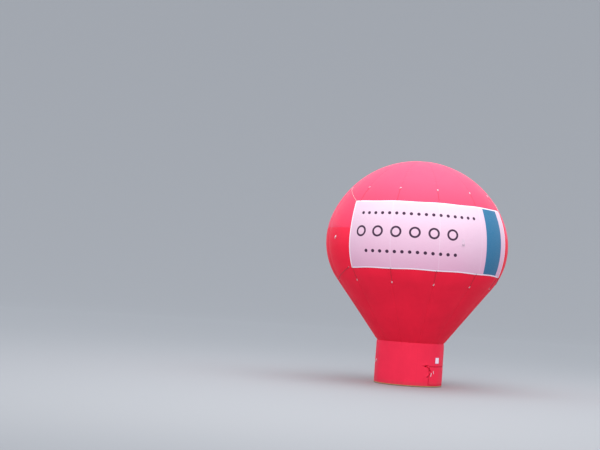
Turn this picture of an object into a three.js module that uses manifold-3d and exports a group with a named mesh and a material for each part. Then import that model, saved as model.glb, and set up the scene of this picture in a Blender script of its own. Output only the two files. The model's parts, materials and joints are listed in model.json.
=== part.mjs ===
// Ground-standing advertising balloon, blown up by a fan: a ball of sewn gores on a cone and a drum.
// Millimetres, +Z up. The origin is on the ground, at the middle of the drum.
// Azimuth is 0 at -Y, the side that faces the street, and grows towards +X.
import * as THREE from "three";
import { mergeVertices } from "three/addons/utils/BufferGeometryUtils.js";
import Module from "manifold-3d";

const wasm = await Module();
wasm.setup();

// Envelope. Its meridian is the drum's wall, a straight cone, a belly arc and a crown arc.
const GORES = 12;
const GORE_STEPS = 4; // flat strips across one gore
const WALL = 10; // thickness of every fabric wall
const SEAM_GAP = 0.3; // left between neighbouring solids
const SEAM_DEPTH = 0.012; // how far a seam lies inside the gore's middle, as a share of the radius
const DRUM_RADIUS = 925;
const DRUM_HEIGHT = 1180;
const FLOOR_THICKNESS = 10;
const FLOOR_RADIUS = 935;
const BELLY_RADIUS = 1840;
const BELLY_CENTRE_R = 660; // the belly arc's centre, measured from the axis
const BELLY_CENTRE_Z = 3870;
const CROWN_RADIUS = 2555;
const CAP_RADIUS = 350;
const EQUATOR_SEAM_Z = 4150; // where the upper gores are sewn to the lower ones
const CUT_REACH = 60; // how far a cutting block stands clear of the wall it cuts

// Banner on the front, laid over the gores.
const BANNER = { left: -46, right: 77, flare: 4.5, bottomZ: 3105, topAngle: 31, thickness: 3 };
const BANNER_SEAM_SHARE = 0.6; // how far the banner follows the gores into their valleys

// Flap in the drum's wall, zipped shut, for ballast. It hinges on its sewn edge, at the azimuth "to".
const FLAP = { from: 38, to: 88, bottom: 60, top: 560, clearance: 5 };

// Blank label above the flap.
const LABEL = { azimuth: 56.25, middle: 726, height: 175, width: 170, thickness: 2 };

// Anchors: a webbing patch with a loop that holds a D-ring. The lift is what lies under the patch,
// and is below zero on a seam, which lies inside the drum's radius.
const EQUATOR_ANCHOR_Z = 3885;
const DRUM_ANCHOR_Z = 610;
const ANCHORS = [
  { name: "equator_front_left", azimuth: -60, z: EQUATOR_ANCHOR_Z, lift: 0 },
  { name: "equator_front_right", azimuth: 30, z: EQUATOR_ANCHOR_Z, lift: 3.3 },
  { name: "equator_back_right", azimuth: 120, z: EQUATOR_ANCHOR_Z, lift: 0 },
  { name: "equator_back_left", azimuth: 210, z: EQUATOR_ANCHOR_Z, lift: 0 },
  { name: "drum_left", azimuth: -75, z: DRUM_ANCHOR_Z, lift: -10.9 },
  { name: "drum_right", azimuth: 90, z: DRUM_ANCHOR_Z, lift: 0 },
];
const PATCH = { width: 90, above: 128, below: 12, thickness: 3 };
const LOOP = { reach: 16, bore: 4.7, outer: 8, width: 46, neck: 9 };
const RING = { halfWidth: 34, drop: 8, wire: 4 };

// Axial fan behind the drum, its axis along Y.
const FAN_Z = 270;
const DUCT = { outer: 200, inner: 196, start: 1100, end: 1340, flange: 212, flangeLength: 5 };
const SLEEVE = { root: 222, wall: 8, end: 1185 };
const STRAP = { start: 1135, width: 30, thickness: 4 };
const IMPELLER = { hub: 58, tip: 187, start: 1222, length: 66, shaft: 9 };
const BLADE = { count: 7, pitch: 35, chord: 92, thickness: 4, inset: 10 };
const MOTOR = { radius: 64, start: 1085, end: 1212 };
const MOTOR_ARM = { width: 26, thickness: 8, y: 1150, count: 4 };
const GUARD = { wire: 2.6, radii: [78, 112, 146, 180, 205], disc: 42, spokes: 6, gap: 0.3 };
const STAND = { width: 320, plate: 12, plates: [1235, 1315], top: 128, rail: 22, overhang: 40 };
const SWITCH_BOX = { width: 110, length: 90, height: 62, start: 1215, sunk: 12 };

const COLOURS = {
  envelope: new THREE.MeshStandardMaterial({ color: 0xe0274f, roughness: 0.5, metalness: 0 }),
  banner: new THREE.MeshStandardMaterial({ color: 0xecd8ea, roughness: 0.7, metalness: 0 }),
  floor: new THREE.MeshStandardMaterial({ color: 0x3b3a38, roughness: 0.9, metalness: 0 }),
  webbing: new THREE.MeshStandardMaterial({ color: 0xc4234a, roughness: 0.8, metalness: 0 }),
  label: new THREE.MeshStandardMaterial({ color: 0xf2e9f2, roughness: 0.6, metalness: 0 }),
  steel: new THREE.MeshStandardMaterial({ color: 0xd8d8da, roughness: 0.3, metalness: 1 }),
  fanPaint: new THREE.MeshStandardMaterial({ color: 0x3c4247, roughness: 0.5, metalness: 0.4 }),
  plastic: new THREE.MeshStandardMaterial({ color: 0x1f2123, roughness: 0.5, metalness: 0 }),
};

const balloon = new THREE.Group();

function addPiece(name, geometry, material, place = new THREE.Matrix4()) {
  const mesh = new THREE.Mesh(geometry, material);
  mesh.name = name;
  mesh.applyMatrix4(place);
  balloon.add(mesh);
  return mesh;
}

const radians = THREE.MathUtils.degToRad;

// Solids and booleans

function toSolid(geometry) {
  const bare = geometry.clone();
  for (const name of ["normal", "uv"]) bare.deleteAttribute(name);
  const merged = mergeVertices(bare, 1e-4);
  const vertProperties = new Float32Array(merged.attributes.position.array);
  const triVerts = new Uint32Array(merged.index.array);
  return new wasm.Manifold(new wasm.Mesh({ numProp: 3, vertProperties, triVerts }));
}

function toGeometry(solid) {
  const mesh = solid.getMesh();
  const geometry = new THREE.BufferGeometry();
  geometry.setAttribute("position", new THREE.BufferAttribute(mesh.vertProperties, 3));
  geometry.setIndex(new THREE.BufferAttribute(mesh.triVerts, 1));
  geometry.computeVertexNormals();
  return geometry;
}

const joined = (geometries) => toGeometry(geometries.map(toSolid).reduce((a, b) => a.add(b)));
const cutBy = (geometry, tool) => toGeometry(toSolid(geometry).subtract(toSolid(tool)));

// A closed solid between two grids of points, outer[i][j] and inner[i][j].
// Seen from outside, i grows upwards and j to the right.
function solidBetween(outer, inner) {
  const rows = outer.length;
  const columns = outer[0].length;
  const positions = [...outer.flat(), ...inner.flat()].flatMap((p) => [p.x, p.y, p.z]);
  const outside = (i, j) => i * columns + j;
  const inside = (i, j) => rows * columns + i * columns + j;
  const index = [];
  const quad = (a, b, c, d) => index.push(a, b, c, a, c, d);
  for (let i = 0; i + 1 < rows; i++) {
    for (let j = 0; j + 1 < columns; j++) {
      quad(outside(i, j), outside(i, j + 1), outside(i + 1, j + 1), outside(i + 1, j));
      quad(inside(i, j), inside(i + 1, j), inside(i + 1, j + 1), inside(i, j + 1));
    }
    quad(outside(i, 0), outside(i + 1, 0), inside(i + 1, 0), inside(i, 0));
    const last = columns - 1;
    quad(outside(i + 1, last), outside(i, last), inside(i, last), inside(i + 1, last));
  }
  for (let j = 0; j + 1 < columns; j++) {
    quad(outside(0, j + 1), outside(0, j), inside(0, j), inside(0, j + 1));
    const top = rows - 1;
    quad(outside(top, j), outside(top, j + 1), inside(top, j + 1), inside(top, j));
  }
  const geometry = new THREE.BufferGeometry();
  geometry.setAttribute("position", new THREE.Float32BufferAttribute(positions, 3));
  geometry.setIndex(index);
  geometry.computeVertexNormals();
  return geometry;
}

const box = (width, depth, height, x, y, z) =>
  new THREE.BoxGeometry(width, depth, height).translate(x, y, z);

// A ring or disc about the Y axis at the fan's height, from a closed profile of [radius, y] corners.
function turnedAboutFanAxis(corners, segments = 36) {
  const profile = corners.map(([r, y]) => new THREE.Vector2(r, y));
  return new THREE.LatheGeometry(profile, segments).translate(0, 0, FAN_Z);
}

const cylinderAlongY = (radius, start, end, segments = 36) =>
  new THREE.CylinderGeometry(radius, radius, end - start, segments)
    .translate(0, (start + end) / 2, FAN_Z);

// The envelope's meridian

const crownCentreZ =
  BELLY_CENTRE_Z - Math.sqrt((CROWN_RADIUS - BELLY_RADIUS) ** 2 - BELLY_CENTRE_R ** 2);
const crownJoin = Math.atan2(BELLY_CENTRE_Z - crownCentreZ, BELLY_CENTRE_R);
const neckToBelly = Math.hypot(BELLY_CENTRE_R - DRUM_RADIUS, BELLY_CENTRE_Z - DRUM_HEIGHT);
const coneAngle =
  Math.asin(BELLY_RADIUS / neckToBelly) -
  Math.atan2(DRUM_RADIUS - BELLY_CENTRE_R, BELLY_CENTRE_Z - DRUM_HEIGHT);

// A station is a point of the meridian with its inner point: {r, z, innerR, innerZ}.
function arcStation(angle, radius, centreR, centreZ) {
  const out = [Math.cos(angle), Math.sin(angle)];
  return {
    r: centreR + radius * out[0],
    z: centreZ + radius * out[1],
    innerR: centreR + (radius - WALL) * out[0],
    innerZ: centreZ + (radius - WALL) * out[1],
  };
}
const bellyStation = (angle) => arcStation(angle, BELLY_RADIUS, BELLY_CENTRE_R, BELLY_CENTRE_Z);
const crownStation = (angle) => arcStation(angle, CROWN_RADIUS, 0, crownCentreZ);

function coneStation(z) {
  const r = DRUM_RADIUS + (z - DRUM_HEIGHT) * Math.tan(coneAngle);
  return { r, z, innerR: r - WALL / Math.cos(coneAngle), innerZ: z };
}

const drumStation = (z) => ({ r: DRUM_RADIUS, z, innerR: DRUM_RADIUS - WALL, innerZ: z });

const steps = (from, to, count) =>
  Array.from({ length: count + 1 }, (_, k) => from + ((to - from) * k) / count);

const seamAngle = Math.asin((EQUATOR_SEAM_Z - BELLY_CENTRE_Z) / BELLY_RADIUS);
const capAngle = Math.acos(CAP_RADIUS / CROWN_RADIUS);
const bellyGap = SEAM_GAP / 2 / BELLY_RADIUS;
const crownGap = SEAM_GAP / 2 / CROWN_RADIUS;
const bannerBottomAngle = Math.asin((BANNER.bottomZ - BELLY_CENTRE_Z) / BELLY_RADIUS);
const tangentZ = BELLY_CENTRE_Z - BELLY_RADIUS * Math.sin(coneAngle);

const lowerStations = [
  ...steps(DRUM_HEIGHT + SEAM_GAP / 2, tangentZ, 3).slice(0, -1).map(coneStation),
  bellyStation(-coneAngle),
  ...steps(bannerBottomAngle, 0, 3).map(bellyStation),
  bellyStation(seamAngle - bellyGap),
];
const upperStations = [
  bellyStation(seamAngle + bellyGap),
  bellyStation((seamAngle + crownJoin) / 2),
  crownStation(crownJoin),
  ...steps(radians(BANNER.topAngle), capAngle - crownGap, 6).map(crownStation),
];

// A seam lies in a valley, which runs out towards the crown cap.
function seamDepth(r) {
  const fadeRadius = 900;
  const fade = Math.min(1, (r - CAP_RADIUS) / (fadeRadius - CAP_RADIUS));
  return SEAM_DEPTH * r * Math.max(0, fade);
}

// The point of a gored surface at an azimuth in degrees.
function gorePoint(azimuth, r, z, depth = seamDepth(r)) {
  const half = 180 / GORES;
  const fromMiddle = azimuth - 2 * half * Math.round(azimuth / (2 * half));
  const reach = r - depth * (fromMiddle / half) ** 2;
  const a = radians(azimuth);
  return new THREE.Vector3(reach * Math.sin(a), -reach * Math.cos(a), z);
}

// A fabric wall over a range of azimuth, with the seam gap left at its two edges.
function fabricWall(stations, from, to) {
  const count = Math.round(((to - from) / (360 / GORES)) * GORE_STEPS);
  const grid = (rKey, zKey) =>
    stations.map((s) => {
      const gap = THREE.MathUtils.radToDeg(SEAM_GAP / 2 / s[rKey]);
      const azimuths = steps(from, to, count);
      azimuths[0] += gap;
      azimuths[count] -= gap;
      return azimuths.map((azimuth) => gorePoint(azimuth, s[rKey], s[zKey], seamDepth(s.r)));
    });
  return solidBetween(grid("r", "z"), grid("innerR", "innerZ"));
}

// Ball and cone: twelve gores, each an upper and a lower panel

const goreWidth = 360 / GORES;
const facet = goreWidth / GORE_STEPS;
for (let k = 0; k < GORES; k++) {
  const middle = k * goreWidth;
  const number = String(k + 1).padStart(2, "0");
  const edges = [middle - goreWidth / 2, middle + goreWidth / 2];
  addPiece(`upper_gore_${number}`, fabricWall(upperStations, ...edges), COLOURS.envelope);
  addPiece(`lower_gore_${number}`, fabricWall(lowerStations, ...edges), COLOURS.envelope);
}

// The crown cap closes the gores' upper ends.
const capAngles = steps(capAngle + crownGap, Math.PI / 2, 3);
const capOuter = capAngles.map((a) => new THREE.Vector2(crownStation(a).r, crownStation(a).z));
const capInner = capAngles.map((a) => new THREE.Vector2(crownStation(a).innerR, crownStation(a).innerZ));
capOuter[3].x = 0;
capInner[3].x = 0;
const capProfile = [...capInner.reverse(), ...capOuter];
const crownCap = new THREE.LatheGeometry(capProfile, GORES * GORE_STEPS).rotateX(Math.PI / 2);
addPiece("crown_cap", crownCap, COLOURS.envelope);

// Drum: three wall panels on a ground sheet, a flap on the right and the fan's hole at the back

// A block round the drum's wall, to cut with.
function wallBlock(from, to, bottom, top) {
  const between = steps(0, 360 / facet, 360 / facet).map((k) => k * facet);
  const azimuths = [from, ...between.filter((a) => a > from && a < to), to];
  const grid = (r) => [bottom, top].map((z) => azimuths.map((a) => gorePoint(a, r, z, 0)));
  return solidBetween(grid(DRUM_RADIUS + CUT_REACH), grid(DRUM_RADIUS - CUT_REACH));
}

const drumStations = [FLOOR_THICKNESS + SEAM_GAP, DRUM_HEIGHT - SEAM_GAP / 2].map(drumStation);
const clearAngle = THREE.MathUtils.radToDeg(FLAP.clearance / DRUM_RADIUS);
const hingeAngle = THREE.MathUtils.radToDeg(SEAM_GAP / DRUM_RADIUS); // the flap is sewn on at this edge
const opening = wallBlock(FLAP.from, FLAP.to, FLAP.bottom, FLAP.top);
const flapBlock = wallBlock(
  FLAP.from + clearAngle,
  FLAP.to - hingeAngle,
  FLAP.bottom + FLAP.clearance,
  FLAP.top - FLAP.clearance,
);
const rightWall = fabricWall(drumStations, 15, 135);
const backWall = fabricWall(drumStations, 135, 255);
const sleeveBore = SLEEVE.root - SLEEVE.wall;
addPiece("drum_panel_right", cutBy(rightWall, opening), COLOURS.envelope);
const fanHole = cylinderAlongY(sleeveBore, DRUM_RADIUS - 2 * CUT_REACH, DRUM_RADIUS + CUT_REACH);
addPiece("drum_panel_back", cutBy(backWall, fanHole), COLOURS.envelope);
addPiece("drum_panel_left", fabricWall(drumStations, 255, 375), COLOURS.envelope);
addPiece("access_flap", toGeometry(toSolid(rightWall).intersect(toSolid(flapBlock))), COLOURS.envelope);

const groundSheet = new THREE.CylinderGeometry(FLOOR_RADIUS, FLOOR_RADIUS, FLOOR_THICKNESS, 48);
addPiece(
  "ground_sheet",
  groundSheet.rotateX(Math.PI / 2).translate(0, 0, FLOOR_THICKNESS / 2),
  COLOURS.floor,
);

// Banner, over the gores between its bottom hem and its top hem

function bannerStation(s, offset) {
  const normal = new THREE.Vector2(s.r - s.innerR, s.z - s.innerZ).normalize();
  return { r: s.r + offset * normal.x, z: s.z + offset * normal.y, depth: seamDepth(s.r) };
}

const bannerStations = [
  ...lowerStations.filter((s) => s.z > BANNER.bottomZ - 1),
  ...upperStations.slice(1).filter((s) => s.z < crownStation(radians(BANNER.topAngle)).z + 1),
];

// The side edges bow outwards above and below the equator.
function bannerAzimuths(z) {
  const middle = (BANNER.bottomZ + crownStation(radians(BANNER.topAngle)).z) / 2;
  const bow = BANNER.flare * ((z - middle) / (middle - BANNER.bottomZ)) ** 2;
  const first = Math.ceil(BANNER.left / facet) * facet;
  const last = Math.floor(BANNER.right / facet) * facet;
  const inner = steps(first, last, (last - first) / facet);
  return [BANNER.left - bow, ...inner, BANNER.right + bow];
}

// A point of the flat facet between two of a gore's corner lines.
function facetPoint(azimuth, station) {
  const low = Math.floor(azimuth / facet) * facet;
  const depth = BANNER_SEAM_SHARE * station.depth;
  const a = gorePoint(low, station.r, station.z, depth);
  const b = gorePoint(low + facet, station.r, station.z, depth);
  return a.lerp(b, (azimuth - low) / facet);
}

const bannerGrid = (offset) =>
  bannerStations.map((s) => bannerAzimuths(s.z).map((a) => facetPoint(a, bannerStation(s, offset))));
addPiece(
  "banner",
  solidBetween(bannerGrid(SEAM_GAP + BANNER.thickness), bannerGrid(SEAM_GAP)),
  COLOURS.banner,
);

// A frame on the envelope: x to the right, y into the wall, z up along it.
function wallFrame(azimuth, r, z, tilt = 0) {
  const a = radians(azimuth);
  const right = new THREE.Vector3(Math.cos(a), Math.sin(a), 0);
  const inward = new THREE.Vector3(
    -Math.sin(a) * Math.cos(tilt),
    Math.cos(a) * Math.cos(tilt),
    -Math.sin(tilt),
  );
  const up = new THREE.Vector3().crossVectors(right, inward);
  return new THREE.Matrix4().makeBasis(right, inward, up).setPosition(r * Math.sin(a), -r * Math.cos(a), z);
}

// Blank label on the drum
const labelReach = DRUM_RADIUS * Math.cos(radians(goreWidth / GORE_STEPS / 2)) + SEAM_GAP;
addPiece(
  "blank_label",
  box(LABEL.width, LABEL.thickness, LABEL.height, 0, -LABEL.thickness / 2, 0),
  COLOURS.label,
  wallFrame(LABEL.azimuth, labelReach, LABEL.middle),
);

// Anchors: patch with loop, and the D-ring that hangs in it

function anchorPatch() {
  const height = PATCH.above + PATCH.below;
  const plate = box(PATCH.width, PATCH.thickness, height, 0, -PATCH.thickness / 2, height / 2 - PATCH.below);
  const neck = box(LOOP.width, LOOP.reach, LOOP.neck, 0, -LOOP.reach / 2, 0);
  const eye = new THREE.CylinderGeometry(LOOP.outer, LOOP.outer, LOOP.width, 12)
    .rotateZ(Math.PI / 2)
    .translate(0, -LOOP.reach, 0);
  const bore = new THREE.CylinderGeometry(LOOP.bore, LOOP.bore, LOOP.width + 20, 12)
    .rotateZ(Math.PI / 2)
    .translate(0, -LOOP.reach, 0);
  return cutBy(joined([plate, neck, eye]), bore);
}

// The ring's bar lies on its own x axis and its bow hangs below.
function hangingRing() {
  const { halfWidth, drop, wire } = RING;
  const bow = [new THREE.Vector3(-halfWidth, 0, 0), new THREE.Vector3(-halfWidth, 0, -drop)];
  for (const angle of steps(0, Math.PI, 8).slice(1, -1)) {
    const x = -halfWidth * Math.cos(angle);
    bow.push(new THREE.Vector3(x, 0, -drop - halfWidth * Math.sin(angle)));
  }
  bow.push(new THREE.Vector3(halfWidth, 0, -drop), new THREE.Vector3(halfWidth, 0, 0));
  const round = new THREE.Shape().absarc(0, 0, wire, 0, 2 * Math.PI);
  const bent = new THREE.ExtrudeGeometry(round, {
    steps: 14,
    curveSegments: 3,
    extrudePath: new THREE.CatmullRomCurve3(bow),
  });
  const bar = new THREE.CylinderGeometry(wire, wire, 2 * (halfWidth + wire), 8).rotateZ(Math.PI / 2);
  return joined([bent, bar]);
}

for (const anchor of ANCHORS) {
  const high = anchor.z > BELLY_CENTRE_Z;
  const seam = bellyStation(seamAngle);
  const tilt = high ? Math.atan2(BELLY_CENTRE_R + BELLY_RADIUS - seam.r, seam.z - BELLY_CENTRE_Z) : 0;
  const surface = high
    ? BELLY_CENTRE_R + BELLY_RADIUS - (anchor.z - BELLY_CENTRE_Z) * Math.tan(tilt)
    : DRUM_RADIUS;
  const lift = anchor.lift + SEAM_GAP;
  const frame = wallFrame(
    anchor.azimuth,
    surface + lift * Math.cos(tilt),
    anchor.z + lift * Math.sin(tilt),
    tilt,
  );
  addPiece(`${anchor.name}_patch`, anchorPatch(), COLOURS.webbing, frame);
  const eye = new THREE.Vector3(0, -LOOP.reach, 0).applyMatrix4(frame);
  const hang = wallFrame(anchor.azimuth, Math.hypot(eye.x, eye.y), eye.z);
  addPiece(`${anchor.name}_ring`, hangingRing(), COLOURS.steel, hang);
}

// Fan at the back: sleeve, strap, duct, motor, impeller, guard, stand and switch box

const duct = turnedAboutFanAxis([
  [DUCT.inner, DUCT.start],
  [DUCT.outer, DUCT.start],
  [DUCT.outer, DUCT.end - DUCT.flangeLength],
  [DUCT.flange, DUCT.end - DUCT.flangeLength],
  [DUCT.flange, DUCT.end],
  [DUCT.inner, DUCT.end],
  [DUCT.inner, DUCT.start],
]);
addPiece("fan_duct", duct, COLOURS.fanPaint);

const sleeveInner = DUCT.outer + SEAM_GAP;
const sleeveOuter = sleeveInner + SLEEVE.wall;
const sleeveStart = DRUM_RADIUS - CUT_REACH;
const sleeve = turnedAboutFanAxis([
  [sleeveBore, sleeveStart],
  [SLEEVE.root, sleeveStart],
  [sleeveOuter, DUCT.start],
  [sleeveOuter, SLEEVE.end],
  [sleeveInner, SLEEVE.end],
  [sleeveInner, DUCT.start],
  [sleeveBore, sleeveStart],
]);
const drumOutline = steps(0, 352.5, 47).map((a) => {
  const p = gorePoint(a, DRUM_RADIUS + SEAM_GAP, 0, seamDepth(DRUM_RADIUS));
  return new THREE.Vector2(p.x, p.y);
});
const drumCore = new THREE.ExtrudeGeometry(new THREE.Shape(drumOutline), {
  depth: DRUM_HEIGHT,
  bevelEnabled: false,
});
addPiece("fan_sleeve", cutBy(sleeve, drumCore), COLOURS.envelope);

const strapInner = sleeveOuter + SEAM_GAP;
const strap = turnedAboutFanAxis([
  [strapInner, STRAP.start],
  [strapInner + STRAP.thickness, STRAP.start],
  [strapInner + STRAP.thickness, STRAP.start + STRAP.width],
  [strapInner, STRAP.start + STRAP.width],
  [strapInner, STRAP.start],
]);
addPiece("sleeve_strap", strap, COLOURS.webbing);

// Turns a piece about the fan's axis.
function turned(geometry, angle) {
  return geometry.translate(0, 0, -FAN_Z).rotateY(angle).translate(0, 0, FAN_Z);
}

const motorParts = [cylinderAlongY(MOTOR.radius, MOTOR.start, MOTOR.end, 24)];
for (let k = 0; k < MOTOR_ARM.count; k++) {
  const { width, thickness, y, count } = MOTOR_ARM;
  const arm = box(width, thickness, DUCT.outer, 0, y, FAN_Z + DUCT.outer / 2);
  motorParts.push(turned(arm, ((k + 0.5) * 2 * Math.PI) / count));
}
const ductCore = cylinderAlongY(DUCT.inner - SEAM_GAP, DUCT.start - 50, DUCT.end);
addPiece("fan_motor", toGeometry(toSolid(joined(motorParts)).intersect(toSolid(ductCore))), COLOURS.fanPaint);

const impellerMiddle = IMPELLER.start + IMPELLER.length / 2;
const impellerParts = [
  cylinderAlongY(IMPELLER.hub, IMPELLER.start, IMPELLER.start + IMPELLER.length, 24),
  cylinderAlongY(IMPELLER.shaft, MOTOR.end + SEAM_GAP, impellerMiddle, 10),
];
for (let k = 0; k < BLADE.count; k++) {
  const length = IMPELLER.tip - IMPELLER.hub + 2 * BLADE.inset;
  const blade = new THREE.BoxGeometry(BLADE.chord, BLADE.thickness, length)
    .rotateZ(radians(BLADE.pitch))
    .translate(0, impellerMiddle, FAN_Z + IMPELLER.hub - BLADE.inset + length / 2);
  impellerParts.push(turned(blade, (k * 2 * Math.PI) / BLADE.count));
}
const tipCylinder = cylinderAlongY(IMPELLER.tip, MOTOR.end - 50, DUCT.end);
const impeller = toSolid(joined(impellerParts)).intersect(toSolid(tipCylinder));
addPiece("fan_impeller", toGeometry(impeller), COLOURS.plastic);

const guardY = DUCT.end + GUARD.gap;
const guardParts = [cylinderAlongY(GUARD.disc, guardY + GUARD.wire, guardY + 3 * GUARD.wire, 20)];
for (const radius of GUARD.radii) {
  const near = radius - GUARD.wire;
  const far = radius + GUARD.wire;
  guardParts.push(
    turnedAboutFanAxis([
      [near, guardY + GUARD.wire],
      [far, guardY + GUARD.wire],
      [far, guardY + 3 * GUARD.wire],
      [near, guardY + 3 * GUARD.wire],
      [near, guardY + GUARD.wire],
    ], 30),
  );
}
const rimRadius = GUARD.radii.at(-1);
for (let k = 0; k < GUARD.spokes; k++) {
  const spoke = box(2 * GUARD.wire, 2 * GUARD.wire, rimRadius, 0, guardY + GUARD.wire, FAN_Z + rimRadius / 2);
  guardParts.push(turned(spoke, (k * 2 * Math.PI) / GUARD.spokes));
}
addPiece("fan_guard", joined(guardParts), COLOURS.steel);

const standLength = STAND.plates[1] - STAND.plates[0] + 2 * STAND.overhang;
const standMiddle = (STAND.plates[0] + STAND.plates[1]) / 2;
const railOffset = (STAND.width - STAND.rail) / 2;
const standParts = [-1, 1].map((side) =>
  box(STAND.rail, standLength, STAND.rail, side * railOffset, standMiddle, STAND.rail / 2),
);
for (const y of STAND.plates) {
  standParts.push(box(STAND.width, STAND.plate, STAND.top, 0, y, STAND.top / 2));
}
const ductOutside = cylinderAlongY(DUCT.outer + SEAM_GAP, DUCT.start, DUCT.end + 100);
addPiece("fan_stand", cutBy(joined(standParts), ductOutside), COLOURS.fanPaint);

const boxBottom = FAN_Z + DUCT.outer - SWITCH_BOX.sunk;
const switchBox = box(
  SWITCH_BOX.width,
  SWITCH_BOX.length,
  SWITCH_BOX.height,
  0,
  SWITCH_BOX.start + SWITCH_BOX.length / 2,
  boxBottom + SWITCH_BOX.height / 2,
);
addPiece("fan_switch_box", cutBy(switchBox, ductOutside), COLOURS.plastic);

export default balloon;
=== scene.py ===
# %% [markdown]
# # An advertising balloon that a fan holds up
# The real object is a ball of coated cloth, sewn from twelve gores, on a cone and a short drum. A fan
# at the back keeps it full of air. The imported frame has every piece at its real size, but plain, so
# this script dresses it: cloth that bulges between its seams, a banner tied over the front, webbing
# with steel rings, a zipped flap and a real fan. It starts with the frame, and keeps its box.

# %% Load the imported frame
import json
import math
from functools import partial

import bmesh
import bpy
import numpy as np
from mathutils import Matrix, Vector

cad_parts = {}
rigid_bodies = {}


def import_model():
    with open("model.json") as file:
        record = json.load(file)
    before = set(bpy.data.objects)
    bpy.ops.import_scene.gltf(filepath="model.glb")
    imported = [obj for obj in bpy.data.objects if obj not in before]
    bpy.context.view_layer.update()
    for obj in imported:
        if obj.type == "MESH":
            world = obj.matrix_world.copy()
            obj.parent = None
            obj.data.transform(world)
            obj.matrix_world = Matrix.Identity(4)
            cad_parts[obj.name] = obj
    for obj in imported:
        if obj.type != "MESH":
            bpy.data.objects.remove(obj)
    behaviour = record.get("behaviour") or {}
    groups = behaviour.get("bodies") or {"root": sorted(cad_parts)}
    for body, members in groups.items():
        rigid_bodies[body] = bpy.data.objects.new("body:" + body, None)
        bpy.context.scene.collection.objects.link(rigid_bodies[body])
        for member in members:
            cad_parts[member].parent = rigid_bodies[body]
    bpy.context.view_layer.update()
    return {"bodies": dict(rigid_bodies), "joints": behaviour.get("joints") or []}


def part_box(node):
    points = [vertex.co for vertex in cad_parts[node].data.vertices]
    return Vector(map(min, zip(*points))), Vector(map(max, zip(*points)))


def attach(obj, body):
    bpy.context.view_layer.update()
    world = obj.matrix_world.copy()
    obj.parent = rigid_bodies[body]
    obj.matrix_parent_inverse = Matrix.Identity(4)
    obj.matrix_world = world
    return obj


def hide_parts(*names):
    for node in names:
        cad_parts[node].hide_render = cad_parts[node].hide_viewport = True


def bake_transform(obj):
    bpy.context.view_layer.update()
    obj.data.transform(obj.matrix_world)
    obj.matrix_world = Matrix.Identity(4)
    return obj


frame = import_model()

# %% [markdown]
# ## Camera
# The photo was taken from far off with a long lens, and the balloon leans a little to the
# right in it. A balloon of cloth has no straight edge of its own, so the lean is given to the camera
# as a roll, and the model stays upright. The camera's place and turns were found from the rings and
# edges that the photo shows.

# %% Place the camera
IMAGE_WIDTH = 600  # pixels of the photo's long side
FOCAL_PIXELS = 1592.5
SENSOR_WIDTH = 36.0  # mm
FAR_CLIP = 500.0
CAMERA = {"azimuth": 1.08, "distance": 44.08, "height": 2.80, "pan": -4.233, "pitch": 1.787, "roll": 3.963}


def add_object(name, data):
    """A new object in the scene, at the origin."""
    made = bpy.data.objects.new(name, data)
    bpy.context.scene.collection.objects.link(made)
    return made


def place_of(x, y, z, origin):
    """A 4 by 4 place from its three axes and its origin."""
    return Matrix([(x[i], y[i], z[i], origin[i]) for i in range(3)] + [(0, 0, 0, 1)])


bearing, heading, pitch, roll = (math.radians(angle) for angle in (
    CAMERA["azimuth"], CAMERA["pan"] - CAMERA["azimuth"], CAMERA["pitch"], CAMERA["roll"]))
forward = Vector((math.sin(heading) * math.cos(pitch), math.cos(heading) * math.cos(pitch), math.sin(pitch)))
right = Vector((math.cos(heading), -math.sin(heading), 0.0))
rolled = Matrix.Rotation(-roll, 3, forward)
camera_data = bpy.data.cameras.new("camera")
camera_data.sensor_width = SENSOR_WIDTH
camera_data.lens = FOCAL_PIXELS / IMAGE_WIDTH * SENSOR_WIDTH
camera_data.clip_end = FAR_CLIP
camera = add_object("camera", camera_data)
camera.matrix_world = place_of(
    rolled @ right, rolled @ right.cross(forward), -forward,
    (CAMERA["distance"] * math.sin(bearing), -CAMERA["distance"] * math.cos(bearing), CAMERA["height"]))
bpy.context.scene.camera = camera
print("lens:", round(camera_data.lens, 1), "mm")

# %% [markdown]
# ## Grids of points
# Nearly every piece here is a grid of points that is joined into quads: cloth, turned metal, tubes. A
# grid may close on itself, round a ring or a pipe, and then its last column meets its first. These
# helpers join the points, give them a UV map in metres, and close the poles.

# %% Make a mesh from a grid
def full_turn(count):
    """So many equal steps round a circle, in radians, from 0."""
    return np.arange(count) * 2 * math.pi / count


def running_length(path):
    """The length of a path up to each of its points."""
    return np.concatenate([[0], np.cumsum(np.linalg.norm(np.diff(path, axis=0), axis=1))])


def grid_quads(rows, columns, rows_close, columns_close):
    """The corners of a grid's quads, as point numbers."""
    number = np.arange(rows * columns).reshape(rows, columns)
    if columns_close:
        number = np.concatenate([number, number[:, :1]], 1)
    if rows_close:
        number = np.concatenate([number, number[:1]])
    return np.stack([number[:-1, :-1], number[:-1, 1:], number[1:, 1:], number[1:, :-1]], -1)


def new_object(name, points, faces, sharp):
    """A smooth mesh object with its points in rows of three, sharp where it turns by that many degrees."""
    mesh = bpy.data.meshes.new(name)
    mesh.from_pydata(points.reshape(-1, 3).tolist(), [], faces)
    mesh.validate()
    mesh.shade_smooth()
    mesh.set_sharp_from_angle(angle=math.radians(sharp))
    return add_object(name, mesh)


def from_bmesh(name, mesh):
    """An object from a finished bmesh, which is freed."""
    data = bpy.data.meshes.new(name)
    mesh.to_mesh(data)
    mesh.free()
    return add_object(name, data)


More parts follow.
